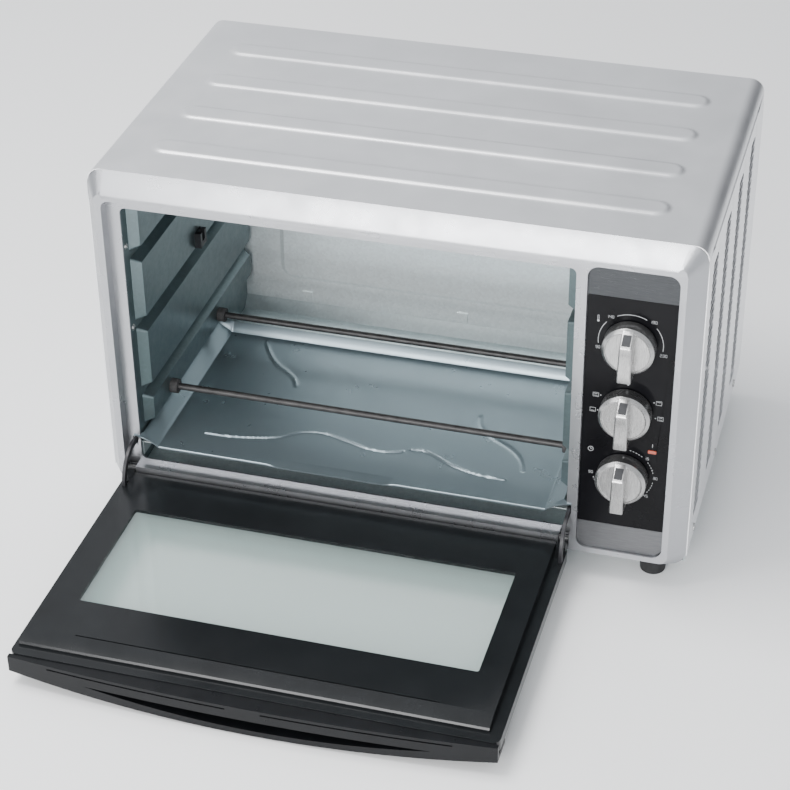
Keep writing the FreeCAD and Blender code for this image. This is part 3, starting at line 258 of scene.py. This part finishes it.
# ---- CAD nodes that keep their shape: finish, welded seams and softened edges ----
EDGES = {"front_bezel": 0.7, "door_inner_frame": 0.5, "door_outer_frame": 0.6, "door_handle": 1.4,
         "control_panel": 0.15, "panel_plate_top": 0.15, "panel_plate_bottom": 0.15,
         "chamber_left_wall": 1.0, "chamber_right_wall": 1.0, "chamber_back_wall": 1.0, "chamber_floor": 0.8,
         "hinge_arm_left": 0.4, "hinge_arm_right": 0.4, "spit_socket": 0.4, "feet": 0.8,
         "thermostat": 0.6, "function_switch": 0.6, "timer": 0.6, "terminal_block": 0.5, "cord_gland": 0.5,
         "heater_insulators": 0.4, "indicator_lens": 0.2}
sharp_angle = math.radians(32.0)
fine_edge = 0.12
smooth_limit = 27.0


def smoothing_group():
    """Geometry nodes that shade smooth, apart from edges sharper than the limit."""
    group = bpy.data.node_groups.new("smooth_by_angle", "GeometryNodeTree")
    group.interface.new_socket("Geometry", in_out="INPUT", socket_type="NodeSocketGeometry")
    group.interface.new_socket("Geometry", in_out="OUTPUT", socket_type="NodeSocketGeometry")
    start, end = group.nodes.new("NodeGroupInput"), group.nodes.new("NodeGroupOutput")
    angle = group.nodes.new("GeometryNodeInputMeshEdgeAngle")
    below = group.nodes.new("FunctionNodeCompare")
    below.data_type, below.operation = "FLOAT", "LESS_THAN"
    below.inputs[1].default_value = math.radians(smooth_limit)
    faces, edges = (group.nodes.new("GeometryNodeSetShadeSmooth") for _ in range(2))
    faces.domain, edges.domain = "FACE", "EDGE"
    group.links.new(start.outputs[0], faces.inputs["Geometry"])
    group.links.new(faces.outputs[0], edges.inputs["Geometry"])
    group.links.new(angle.outputs["Unsigned Angle"], below.inputs[0])
    group.links.new(below.outputs[0], edges.inputs["Shade Smooth"])
    group.links.new(edges.outputs[0], end.inputs[0])
    return group


SMOOTH = smoothing_group()


def finish_edges(obj, width, weld_gap):
    """Welds seams, rounds sharp edges, and shades curved faces smooth and flat faces flat."""
    weld = obj.modifiers.new("weld", "WELD")
    weld.merge_threshold = weld_gap * MM
    if width:
        bevel = obj.modifiers.new("edges", "BEVEL")
        bevel.width = width * MM
        bevel.segments = 4
        bevel.limit_method = "ANGLE"
        bevel.angle_limit = sharp_angle
    obj.modifiers.new("smooth", "NODES").node_group = SMOOTH
    normals = obj.modifiers.new("normals", "WEIGHTED_NORMAL")
    normals.keep_sharp = True
    normals.weight = 100


# Nodes with a colour of their own within their slot's material. The chamber's side walls and ceiling get a
# darker copy of the galvanised steel as painted shade, and its back wall a lighter, less metallic copy as
# painted light; the top control plate gets a darker copy of the panel steel, and the door screws are black.
SHADES = {"panel_plate_top": "panel_steel_dark", "door_screws": "hinge_black",
          "chamber_left_wall": "galvanised_painted_shade", "chamber_right_wall": "galvanised_painted_shade",
          "chamber_ceiling": "galvanised_painted_shade", "chamber_back_wall": "galvanised_painted_light"}
seam_gap = 0.002

for part in frame["record"]["subparts"]:
    cad = frame["nodes"][part["node"]]
    cad.data.materials.clear()
    finish = SHADES.get(part["node"], part["material_slot"])
    cad.data.materials.append(MATERIALS[finish].mat)
    finish_edges(cad, EDGES.get(part["node"], fine_edge), seam_gap)


# ---- mesh building ----
class Shape:
    """Points in millimetres and faces, gathered from several parts of one piece."""

    def __init__(self):
        self.points, self.faces = [], []

    def add(self, points, faces):
        n = len(self.points)
        self.points += [tuple(q) for q in points]
        self.faces += [tuple(i + n for i in f) for f in faces]

    def loft(self, loops, caps=(True, True), closed=True):
        """Faces between loops of equal length."""
        n = len(loops[0])
        span = n if closed else n - 1
        faces = [(a * n + i, a * n + (i + 1) % n, (a + 1) * n + (i + 1) % n, (a + 1) * n + i)
                 for a in range(len(loops) - 1) for i in range(span)]
        if caps[0]:
            faces.append(tuple(reversed(range(n))))
        if caps[1]:
            faces.append(tuple(range((len(loops) - 1) * n, len(loops) * n)))
        self.add([q for loop in loops for q in loop], faces)

    def grid(self, us, vs, at):
        """Quads over us by vs; at(u, v) gives the point."""
        self.loft([[at(u, v) for u in us] for v in vs], (False, False), False)

    def piece(self, name, finish, body, stands_for=(), sheet=0.0, offset=-1.0, edge=0.0):
        mesh = bpy.data.meshes.new(name)
        mesh.from_pydata([[c * MM for c in q] for q in self.points], [], self.faces)
        obj = bpy.data.objects.new(name, mesh)
        bpy.context.scene.collection.objects.link(obj)
        mesh.materials.append(MATERIALS[finish].mat)
        if sheet:
            weld = obj.modifiers.new("seams", "WELD")
            weld.merge_threshold = 0.01 * MM
            solid = obj.modifiers.new("sheet", "SOLIDIFY")
            solid.thickness = sheet * MM
            solid.offset = offset
        finish_edges(obj, edge, 0.01)
        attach(obj, body)
        if stands_for:
            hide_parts(*stands_for)
        return obj


def steps(a, b, size):
    """Evenly spaced values from a to b, about size apart."""
    n = max(1, round((b - a) / size))
    return [a + (b - a) * i / n for i in range(n + 1)]


def ease(v):
    v = min(1.0, max(0.0, v))
    return v * v * (3 - 2 * v)


def stadium_depth(u, v, half_u, half_v, r):
    """How far inside a rounded rectangle centred on the origin a point lies."""
    du, dv = abs(u) - half_u + r, abs(v) - half_v + r
    return r - math.hypot(max(du, 0), max(dv, 0)) - min(max(du, dv), 0)


def arc(cx, cz, r, a0, a1, n):
    """Points on a circle; angles in degrees, clockwise from twelve o'clock."""
    return [(cx + r * math.sin(math.radians(a0 + (a1 - a0) * i / n)),
             cz + r * math.cos(math.radians(a0 + (a1 - a0) * i / n))) for i in range(n + 1)]


# ---- outer cover: one bent sheet, four raised ribs, pressed louvres in both sides ----
cover_lo, cover_hi = corners("outer_cover")
cover_sheet = 0.8
rib_h, rib_look = 2.6, 1.7
cover_r = 12.0
rib_places = (58.5, 122.0, 185.2, 248.0)         # behind the front face
rib_half_len, rib_half_w, rib_soft = 212.0, 12.5, 4.2
louvre_places = (49.7, 116.0, 182.3, 248.6)
louvre_w, louvre_h, louvre_pitch, louvre_rows = 28.0, 3.8, 8.0, 30
louvre_first = 55.0
louvre_out, louvre_in = 0.5, 0.3
bezel_lo, _ = corners("front_bezel")
front_y = bezel_lo[1]
top_z = cover_hi[2] - rib_h
half_w = cover_hi[0]


def cover():
    s = Shape()
    y0, y1 = cover_lo[1], cover_hi[1]
    flat = half_w - cover_r
    fine = 1.6

    def rib(x, y):
        h = 0.0
        for d in rib_places:
            depth = stadium_depth(x, y - front_y - d, rib_half_len, rib_half_w, rib_half_w)
            h = max(h, rib_look * ease(depth / rib_soft))
        return h

    end = rib_half_len - rib_half_w - 4.0
    xs = steps(-flat, -end, fine) + steps(-end, end, 24.0)[1:] + steps(end, flat, fine)[1:]
    ys = steps(y0, y1, fine)
    s.grid(ys, xs, lambda y, x: (x, y, top_z + rib(x, y)))
    turns = 10
    for k in (-1, 1):
        bend = [(k * (flat + cover_r * math.sin(a)), top_z - cover_r * (1 - math.cos(a)))
                for a in (math.pi / 2 * i / turns for i in range(turns + 1))]
        loops = [[(x, y, z) for y in ys] for x, z in bend]
        s.loft(loops if k > 0 else loops[::-1], (False, False), False)
        louvred_side(s, k, y0, y1)
    return s.piece("cover", "cover_paint", "oven_body", ["outer_cover"], sheet=cover_sheet, offset=1.0)


def louvred_side(s, k, y0, y1):
    """One side of the cover: k is -1 on the left and 1 on the right."""
    hw, hh = louvre_w / 2, louvre_h / 2
    cell_w, run = hw + 3.0, 6
    us = [-hw + hh + (louvre_w - louvre_h) * i / run for i in range(run + 1)]
    vs = [-0.5, -0.17, 0.17, 0.5]
    low, high = louvre_first - louvre_pitch / 2, louvre_first + (louvre_rows - 0.5) * louvre_pitch

    def point(y, z, out=0.0):
        return (k * (half_w + out), y, z)

    def put(faces_points):
        order = faces_points if k < 0 else faces_points[::-1]
        s.add(order, [tuple(range(len(order)))])

    lines = []
    for d in louvre_places:
        c = front_y + d
        lines.append([c - cell_w] + [c + u for u in us] + [c + cell_w])
        for row in range(louvre_rows):
            z = louvre_first + row * louvre_pitch
            louvre(s, k, c, z, us, vs, cell_w, hh)
    span_z = [louvre_first + (row + v) * louvre_pitch for row in range(louvre_rows) for v in vs[:-1]] + [high]
    edges = [y0] + [y for ls in lines for y in (ls[0], ls[-1])] + [y1]
    for a, b in zip(edges[::2], edges[1::2]):
        for z0, z1 in zip(span_z, span_z[1:]):
            put([point(a, z0), point(a, z1), point(b, z1), point(b, z0)])
    all_y = [y0] + [y for ls in lines for y in ls] + [y1]
    for z0, z1 in ((cover_lo[2], low), (high, top_z - cover_r)):
        for a, b in zip(all_y, all_y[1:]):
            put([point(a, z0), point(a, z1), point(b, z1), point(b, z0)])


def louvre(s, k, c, z, us, vs, cell_w, hh):
    """A pressed louvre: its upper lip is pushed in, its lower lip stands out."""
    n_arc = len(vs) - 1
    outer, inner = [], []
    for u in us:
        outer.append((c + u, z + louvre_pitch / 2, 0.0))
        inner.append((c + u, z + hh, -louvre_in))
    for i in range(1, n_arc):
        a = math.pi * i / n_arc
        inner.append((c + us[-1] + hh * math.sin(a), z + hh * math.cos(a), 0.2))
        outer.append((c + cell_w, z - vs[i] * louvre_pitch, 0.0))
    for u in reversed(us):
        outer.append((c + u, z - louvre_pitch / 2, 0.0))
        inner.append((c + u, z - hh, louvre_out))
    for i in range(1, n_arc):
        a = math.pi + math.pi * i / n_arc
        inner.append((c + us[0] + hh * math.sin(a), z + hh * math.cos(a), 0.2))
        outer.append((c - cell_w, z + vs[i] * louvre_pitch, 0.0))
    middle = [((a[0] * 0.35 + b[0] * 0.65), (a[1] * 0.35 + b[1] * 0.65), b[2] * 0.8)
              for a, b in zip(outer, inner)]
    n = len(outer)
    loops = [[(k * (half_w + out), y, zz) for y, zz, out in loop] for loop in (outer, middle, inner)]
    corner = {len(us) - 1: (1, 1), len(us) - 1 + n_arc - 1: (1, -1),
              2 * len(us) + n_arc - 2: (-1, -1), n - 1: (-1, 1)}
    points = [q for loop in loops for q in loop]
    faces = []
    for a in range(2):
        for i in range(n):
            j = (i + 1) % n
            face = [a * n + i, a * n + j, (a + 1) * n + j, (a + 1) * n + i]
            if a == 0 and i in corner:
                su, sv = corner[i]
                points.append((k * half_w, c + su * cell_w, z + sv * louvre_pitch / 2))
                face.insert(1, len(points) - 1)
            faces.append(tuple(face if k > 0 else face[::-1]))
    s.add(points, faces)


cover()


# ---- control knobs: brushed disc with a bevelled rim and a tapering grip bar ----
disc_out, dish_in, disc_hole = 12.0, 0.7, 0.4    # the disc's face before the bezel, its dish, its middle
grip_top, grip_low, grip_bevel = 4.6, 5.5, 0.9   # half widths of the bar at its ends, and its edges
grip_root = 2.5                                  # how far its sides reach in behind the face
inlay_in, inlay_lift, inlay_sheet = 1.3, 0.12, 0.1


def lathe(s, cx, cz, profile, n=64):
    """Turns (radius, y) points about an axis along Y."""
    turns = [2 * math.pi * i / n for i in range(n)]
    s.loft([[(cx + r * math.cos(a), y, cz + r * math.sin(a)) for a in turns] for r, y in profile])


def knob(node, body):
    lo, hi = corners(node)
    cx, cz = (lo[0] + hi[0]) / 2, (lo[2] + hi[2]) / 2
    back, out = hi[1], lo[1]
    face = front_y - disc_out
    dish = face + dish_in
    r = (hi[0] - lo[0]) / 2
    s = Shape()
    lathe(s, cx, cz, [(r - 2.4, back - 3.0), (r - 1.6, back), (r - 0.5, back), (r, back - 0.5),
                      (r, face + 2.6), (r - 0.3, face + 2.0), (r - 2.3, face + 0.15), (r - 2.7, face),
                      (r - 3.1, face + 0.1), (r - 3.5, face + 0.6), (r - 4.2, dish), (disc_hole, dish)])
    top, low = hi[2], lo[2]
    slope_top, slope_out = top - 1.4, top - 9.6

    def section(y, z, half):
        return [(cx - half, y + grip_bevel, z), (cx - half + grip_bevel, y, z),
                (cx + half - grip_bevel, y, z), (cx + half, y + grip_bevel, z)]

    rows = [(dish, slope_top), (face - 0.4, slope_top - 0.6), (out + 1.6, slope_out + 0.7),
            (out + 0.5, slope_out), (out, slope_out - 0.9), (out, slope_out - 6.0), (out + 0.7, cz),
            (out, low + 8.0), (out, low + 1.6), (out + 0.5, low + 0.5), (out + 1.6, low),
            (back - 8.0, low)]
    z_span = slope_top - low
    front = []
    for y, z in rows:
        half = grip_low + (grip_top - grip_low) * (z - low) / z_span
        front.append(section(y, z, half))
    bar = Shape()
    bar.loft(front, (False, False), False)
    side_root = face + grip_root
    for index, right in ((0, False), (3, True)):
        edge = [loop[index] for loop in front]
        loops = [edge, [(x, max(y, side_root), z) for x, y, z in edge]]
        bar.loft(loops if right else loops[::-1], (False, False), False)
    s.add(bar.points, bar.faces)
    s.piece(node + "_cap", "knob_silver", body, [node])
    inlay = Shape()
    w = grip_top - inlay_in
    near = (face - 2.0 - inlay_lift, slope_top - 1.9 + inlay_lift)
    far = (out + 1.9 - inlay_lift, slope_out + 1.0 + inlay_lift)
    inlay.add([(cx - w, *near), (cx + w, *near), (cx + w, *far), (cx - w, *far)], [(0, 1, 2, 3)])
    inlay.piece(node + "_inlay", "facet_dark", body, sheet=inlay_sheet)


for node, body in (("knob_temperature", "temperature_control"), ("knob_function", "function_control"),
                   ("knob_timer", "timer_control")):
    knob(node, body)

# ---- crumb tray: pressed sheet with sloping sides, shallow beads and a finger scoop ----
tray_lo, tray_hi = corners("crumb_tray")
tray_sheet, tray_ear = 0.7, 7.5
tray_x0, tray_x1 = tray_lo[0] + tray_ear, tray_hi[0] - tray_ear
tray_y0, tray_y1 = tray_lo[1], tray_hi[1]
tray_rim = tray_hi[2]
tray_rise, tray_slope = 9.3, 15.0
tray_floor = tray_rim - tray_rise
crease_depth, crease_at, crease_w = 0.5, 0.6, 0.9          # where the floor turns up into the sides
scoop_x0, scoop_x1, scoop_y = -112.0, 4.0, 9.0             # finger scoop in the front edge
scoop_soft, scoop_depth = 12.0, 1.6
nose_run, nose_drop = 1.4, 0.8                             # the front edge rolls down beside the scoop
rear_run, rear_rise, rear_power = 5.5, 8.6, 0.8            # the rear edge turns up
flare_run, flare_soft, flare_out, flare_from = 5.5, 5.0, 7.0, 9.0    # the sides widen at the front
lip_in, lip_drop = 0.05, 1.3
# Each bead: points along it, half its width, and its height. The points were measured from the photo
# through the fitted camera, with more added.
BEADS = [([(-176, 14), (-150, 15), (-116, 23), (-97, 36), (-77, 40), (-55, 34), (-35, 28), (-18, 27),
           (-4, 31)], 1.5, 1.3),
         ([(3, 36), (13, 37), (23, 33), (37, 25), (52, 19), (70, 15), (90, 14)], 1.5, 1.3),
         ([(-172, 166), (-162, 148), (-150, 133), (-137, 123), (-128, 114), (-123, 104)], 1.6, 0.7),
         ([(48, 100), (53, 84), (66, 72), (84, 60), (96, 47), (102, 30)], 1.6, -0.7)]


def curve(points, count=5):
    """Smooth curve through points (Catmull-Rom)."""
    out = []
    pad = [points[0]] + list(points) + [points[-1]]
    for a, b, c, d in zip(pad, pad[1:], pad[2:], pad[3:]):
        for i in range(count):
            t = i / count
            out.append(tuple(0.5 * (2 * b[k] + (c[k] - a[k]) * t
                                    + (2 * a[k] - 5 * b[k] + 4 * c[k] - d[k]) * t * t
                                    + (3 * b[k] - a[k] - 3 * c[k] + d[k]) * t ** 3) for k in (0, 1)))
    return out + [points[-1]]


def distance_to(path, x, y):
    best = 1e9
    for (ax, ay), (bx, by) in zip(path, path[1:]):
        dx, dy = bx - ax, by - ay
        t = min(1.0, max(0.0, ((x - ax) * dx + (y - ay) * dy) / (dx * dx + dy * dy)))
        best = min(best, math.hypot(x - ax - t * dx, y - ay - t * dy))
    return best


def crumb_tray():
    s = Shape()
    paths = []
    for points, half, height in BEADS:
        path = curve(points)
        xs, ys = [q[0] for q in path], [q[1] for q in path]
        paths.append((path, half, height, min(xs) - half, max(xs) + half, min(ys) - half, max(ys) + half))

    def height(x, y):
        z = 0.0
        for path, half, h, x0, x1, y0, y1 in paths:
            if x0 < x < x1 and y0 < y < y1:
                z += h * ease(1.25 - distance_to(path, x, y) / half)
        across = min(ease((x - scoop_x0) / scoop_soft), ease((scoop_x1 - x) / scoop_soft))
        depth = max(0.0, tray_y0 + scoop_y - y) / scoop_y
        z -= scoop_depth * depth * across
        front = max(0.0, tray_y0 + nose_run - y) / nose_run
        z -= nose_drop * front * front * (1 - across)
        rear = max(0.0, y - tray_y1 + rear_run) / rear_run
        z += rear_rise * rear ** rear_power
        return z

    def point(u, y):
        """u runs over the flat floor and on up the sloping sides."""
        x = max(tray_x0 + tray_slope, min(tray_x1 - tray_slope, u))
        rest = u - x
        out = abs(rest)
        crease = crease_depth * math.exp(-((out - crease_at) / crease_w) ** 2)
        relief = max(height(x, y), 0.0) if out > 0 else height(x, y)
        z = tray_floor + relief + out * tray_rise / tray_slope - crease
        if out > tray_slope - 1.0:
            z = min(z, tray_rim) - 0.5 * (out - tray_slope + 1.0)
        near = ease((tray_y0 + flare_run - y) / flare_soft)
        z = min(z, tray_rim + 0.2)
        flare = max(0.0, out - flare_from) / (tray_slope - flare_from)
        wide = rest * (1 + near * flare_out / tray_slope * flare)
        return (x + wide, y, z)

    fx0, fx1 = tray_x0 + tray_slope, tray_x1 - tray_slope
    sides = [0.0, 0.6, 1.2, 2.0, 3.5, 7.0, 11.0, 13.6, 14.4, tray_slope]
    us = [fx0 - v for v in reversed(sides)] + steps(fx0, fx1, 1.1)[1:-1] + [fx1 + v for v in sides]
    fine_to = 42.0
    front = [tray_y0 + v for v in (0.0, 0.35, 0.8, 1.4)]
    rear = [tray_y1 - v for v in (5.8, 5.2, 4.4, 3.4, 2.4, 1.4, 0.6, 0.0)]
    ys = front + steps(tray_y0 + 2.0, fine_to, 0.9) + steps(fine_to, tray_y1 - 7.0, 2.3)[1:] + rear
    s.grid(us, ys, point)
    edge = [point(u, tray_y0) for u in us]
    lip = [[(x, y + lip_in * k, z - lip_drop * k) for x, y, z in edge] for k in (1, 0)]
    s.loft(lip, (False, False), False)
    return s.piece("tray", "tray_steel", "tray", ["crumb_tray"], sheet=tray_sheet)


crumb_tray()

# ---- marks on the control panel: dial arcs, figures and plain symbols, a little proud of the glass ----
panel_lo, _ = corners("control_panel")
mark_y = panel_lo[1] - 0.06
mark_w = 0.42
# Figures are drawn with seven bars
FIGURES = {"0": "abcdef", "1": "bc", "2": "abged", "3": "abgcd", "4": "fgbc", "5": "afgcd",
           "6": "afgedc", "7": "abc", "8": "abcdefg", "9": "abcdfg"}
BARS = {"a": ((0, 1), (1, 1)), "b": ((1, 1), (1, 0.5)), "c": ((1, 0.5), (1, 0)), "d": ((0, 0), (1, 0)),
        "e": ((0, 0), (0, 0.5)), "f": ((0, 0.5), (0, 1)), "g": ((0, 0.5), (1, 0.5))}
figure_w, figure_h, figure_gap = 1.25, 2.3, 0.75
figure_line, frame_line, thin_line = 0.24, 0.26, 0.3


class Marks:
    """Thin printed lines in the plane of the panel."""

    def __init__(self):
        self.shape = Shape()

    def line(self, a, b, w=mark_w):
        dx, dz = b[0] - a[0], b[1] - a[1]
        k = w / 2 / math.hypot(dx, dz)
        ox, oz, ex, ez = -dz * k, dx * k, dx * k * 0.8, dz * k * 0.8
        corner = [(a[0] - ex + ox, a[1] - ez + oz), (a[0] - ex - ox, a[1] - ez - oz),
                  (b[0] + ex - ox, b[1] + ez - oz), (b[0] + ex + ox, b[1] + ez + oz)]
        self.shape.add([(x, mark_y, z) for x, z in corner], [(0, 1, 2, 3)])

    def path(self, points, w=mark_w):
        sides = []
        for i, (x, z) in enumerate(points):
            a, b = points[max(0, i - 1)], points[min(len(points) - 1, i + 1)]
            length = math.hypot(b[0] - a[0], b[1] - a[1])
            nx, nz = -(b[1] - a[1]) / length * w / 2, (b[0] - a[0]) / length * w / 2
            sides.append(((x + nx, mark_y, z + nz), (x - nx, mark_y, z - nz)))
        self.shape.loft([[q for q, _ in sides], [q for _, q in sides]], (False, False), False)

    def ring(self, cx, cz, r, w=mark_w):
        self.path(arc(cx, cz, r, 0, 360, 20), w)

    def rectangle(self, cx, cz, w, h):
        x0, x1, z0, z1 = cx - w / 2, cx + w / 2, cz - h / 2, cz + h / 2
        c = [(x0, z0), (x1, z0), (x1, z1), (x0, z1)]
        for a, b in zip(c, c[1:] + c[:1]):
            self.line(a, b, frame_line)

    def dot(self, cx, cz, r=0.5):
        self.path(arc(cx, cz, r * 0.5, 0, 360, 12), r)

    def number(self, text, cx, cz):
        pitch = figure_w + figure_gap
        x = cx - (len(text) - 1) * pitch / 2 - figure_w / 2
        for digit in text:
            for bar in FIGURES[digit]:
                (ax, az), (bx, bz) = BARS[bar]
                self.line((x + ax * figure_w, cz + (az - 0.5) * figure_h),
                          (x + bx * figure_w, cz + (bz - 0.5) * figure_h), figure_line)
            x += pitch


def on_dial(cx, cz, r, clock):
    a = math.radians(clock)
    return cx + r * math.sin(a), cz + r * math.cos(a)


def centre_of(node):
    lo, hi = corners(node)
    return (lo[0] + hi[0]) / 2, (lo[2] + hi[2]) / 2


m = Marks()
cx, cz = centre_of("shaft_temperature")
arc_r = 25.4
for a0, a1 in ((-98, -50), (-27, 27), (50, 98)):
    m.path(arc(cx, cz, arc_r, a0, a1, 18))
for text, clock, r in (("90", -106, 26.4), ("140", -38, 27.2), ("190", 38, 27.2), ("230", 106, 27.0)):
    m.number(text, *on_dial(cx, cz, r, clock))
bulb = (169.4, 249.6)
m.dot(*bulb, 0.95)
for dx in (-0.5, 0.5):
    m.line((bulb[0] + dx, bulb[1] + 0.8), (bulb[0] + dx, bulb[1] + 4.6), thin_line)
m.line((bulb[0] - 0.5, bulb[1] + 4.8), (bulb[0] + 0.5, bulb[1] + 4.8), thin_line)
cx, cz = centre_of("shaft_function")
m.dot(*on_dial(cx, cz, 24.0, 0), 0.8)
for clock, top_bar, low_bar in ((-67, True, True), (-98, False, True), (67, True, False), (98, True, True)):
    x, z = on_dial(cx, cz, 27.2, clock)
    m.rectangle(x, z, 4.4, 3.6)
    if top_bar:
        m.line((x - 1.2, z + 0.9), (x + 1.2, z + 0.9), thin_line)
    if low_bar:
        m.line((x - 1.2, z - 0.9), (x + 1.2, z - 0.9), thin_line)
    m.dot(x - math.copysign(3.9, clock), z, 0.5)
cx, cz = centre_of("shaft_timer")
degrees_each = 2.95
m.dot(*on_dial(cx, cz, 24.2, 0), 0.8)
for minutes in range(4, 90, 2):
    near = min(abs(minutes - v) for v in (15, 30, 45, 60, 75, 90))
    if near > 2.4 and (minutes < 60 or minutes > 76):
        clock = minutes * degrees_each
        m.path(arc(cx, cz, 24.6, clock - 1.3, clock + 1.3, 3), 0.5)
for minutes in (15, 30, 45, 75, 90):
    m.number(str(minutes), *on_dial(cx, cz, 26.2, minutes * degrees_each))
clock_at = (168.4, 129.0)
m.ring(*clock_at, 2.1, 0.36)
m.line(clock_at, (clock_at[0], clock_at[1] + 1.3), 0.34)
m.line(clock_at, (clock_at[0] + 1.0, clock_at[1]), 0.34)
lamp_x, lamp_z = centre_of("indicator_lens")
m.line((lamp_x, lamp_z + 4.6), (lamp_x, lamp_z + 7.4), 0.4)
m.shape.piece("panel_marks", "print_white", "oven_body", sheet=0.05, offset=0.0)

# ---- studio floor ----
floor_half = 6.0
floor_mesh = bpy.data.meshes.new("floor")
floor_mesh.from_pydata([(-floor_half, -floor_half, 0), (floor_half, -floor_half, 0),
                        (floor_half, floor_half, 0), (-floor_half, floor_half, 0)], [], [(0, 1, 2, 3)])
floor = bpy.data.objects.new("floor", floor_mesh)
bpy.context.scene.collection.objects.link(floor)
p = finish_of("floor", (0.98, 0.98, 0.98), 0.0, 0.28)
floor_mesh.materials.append(p.mat)
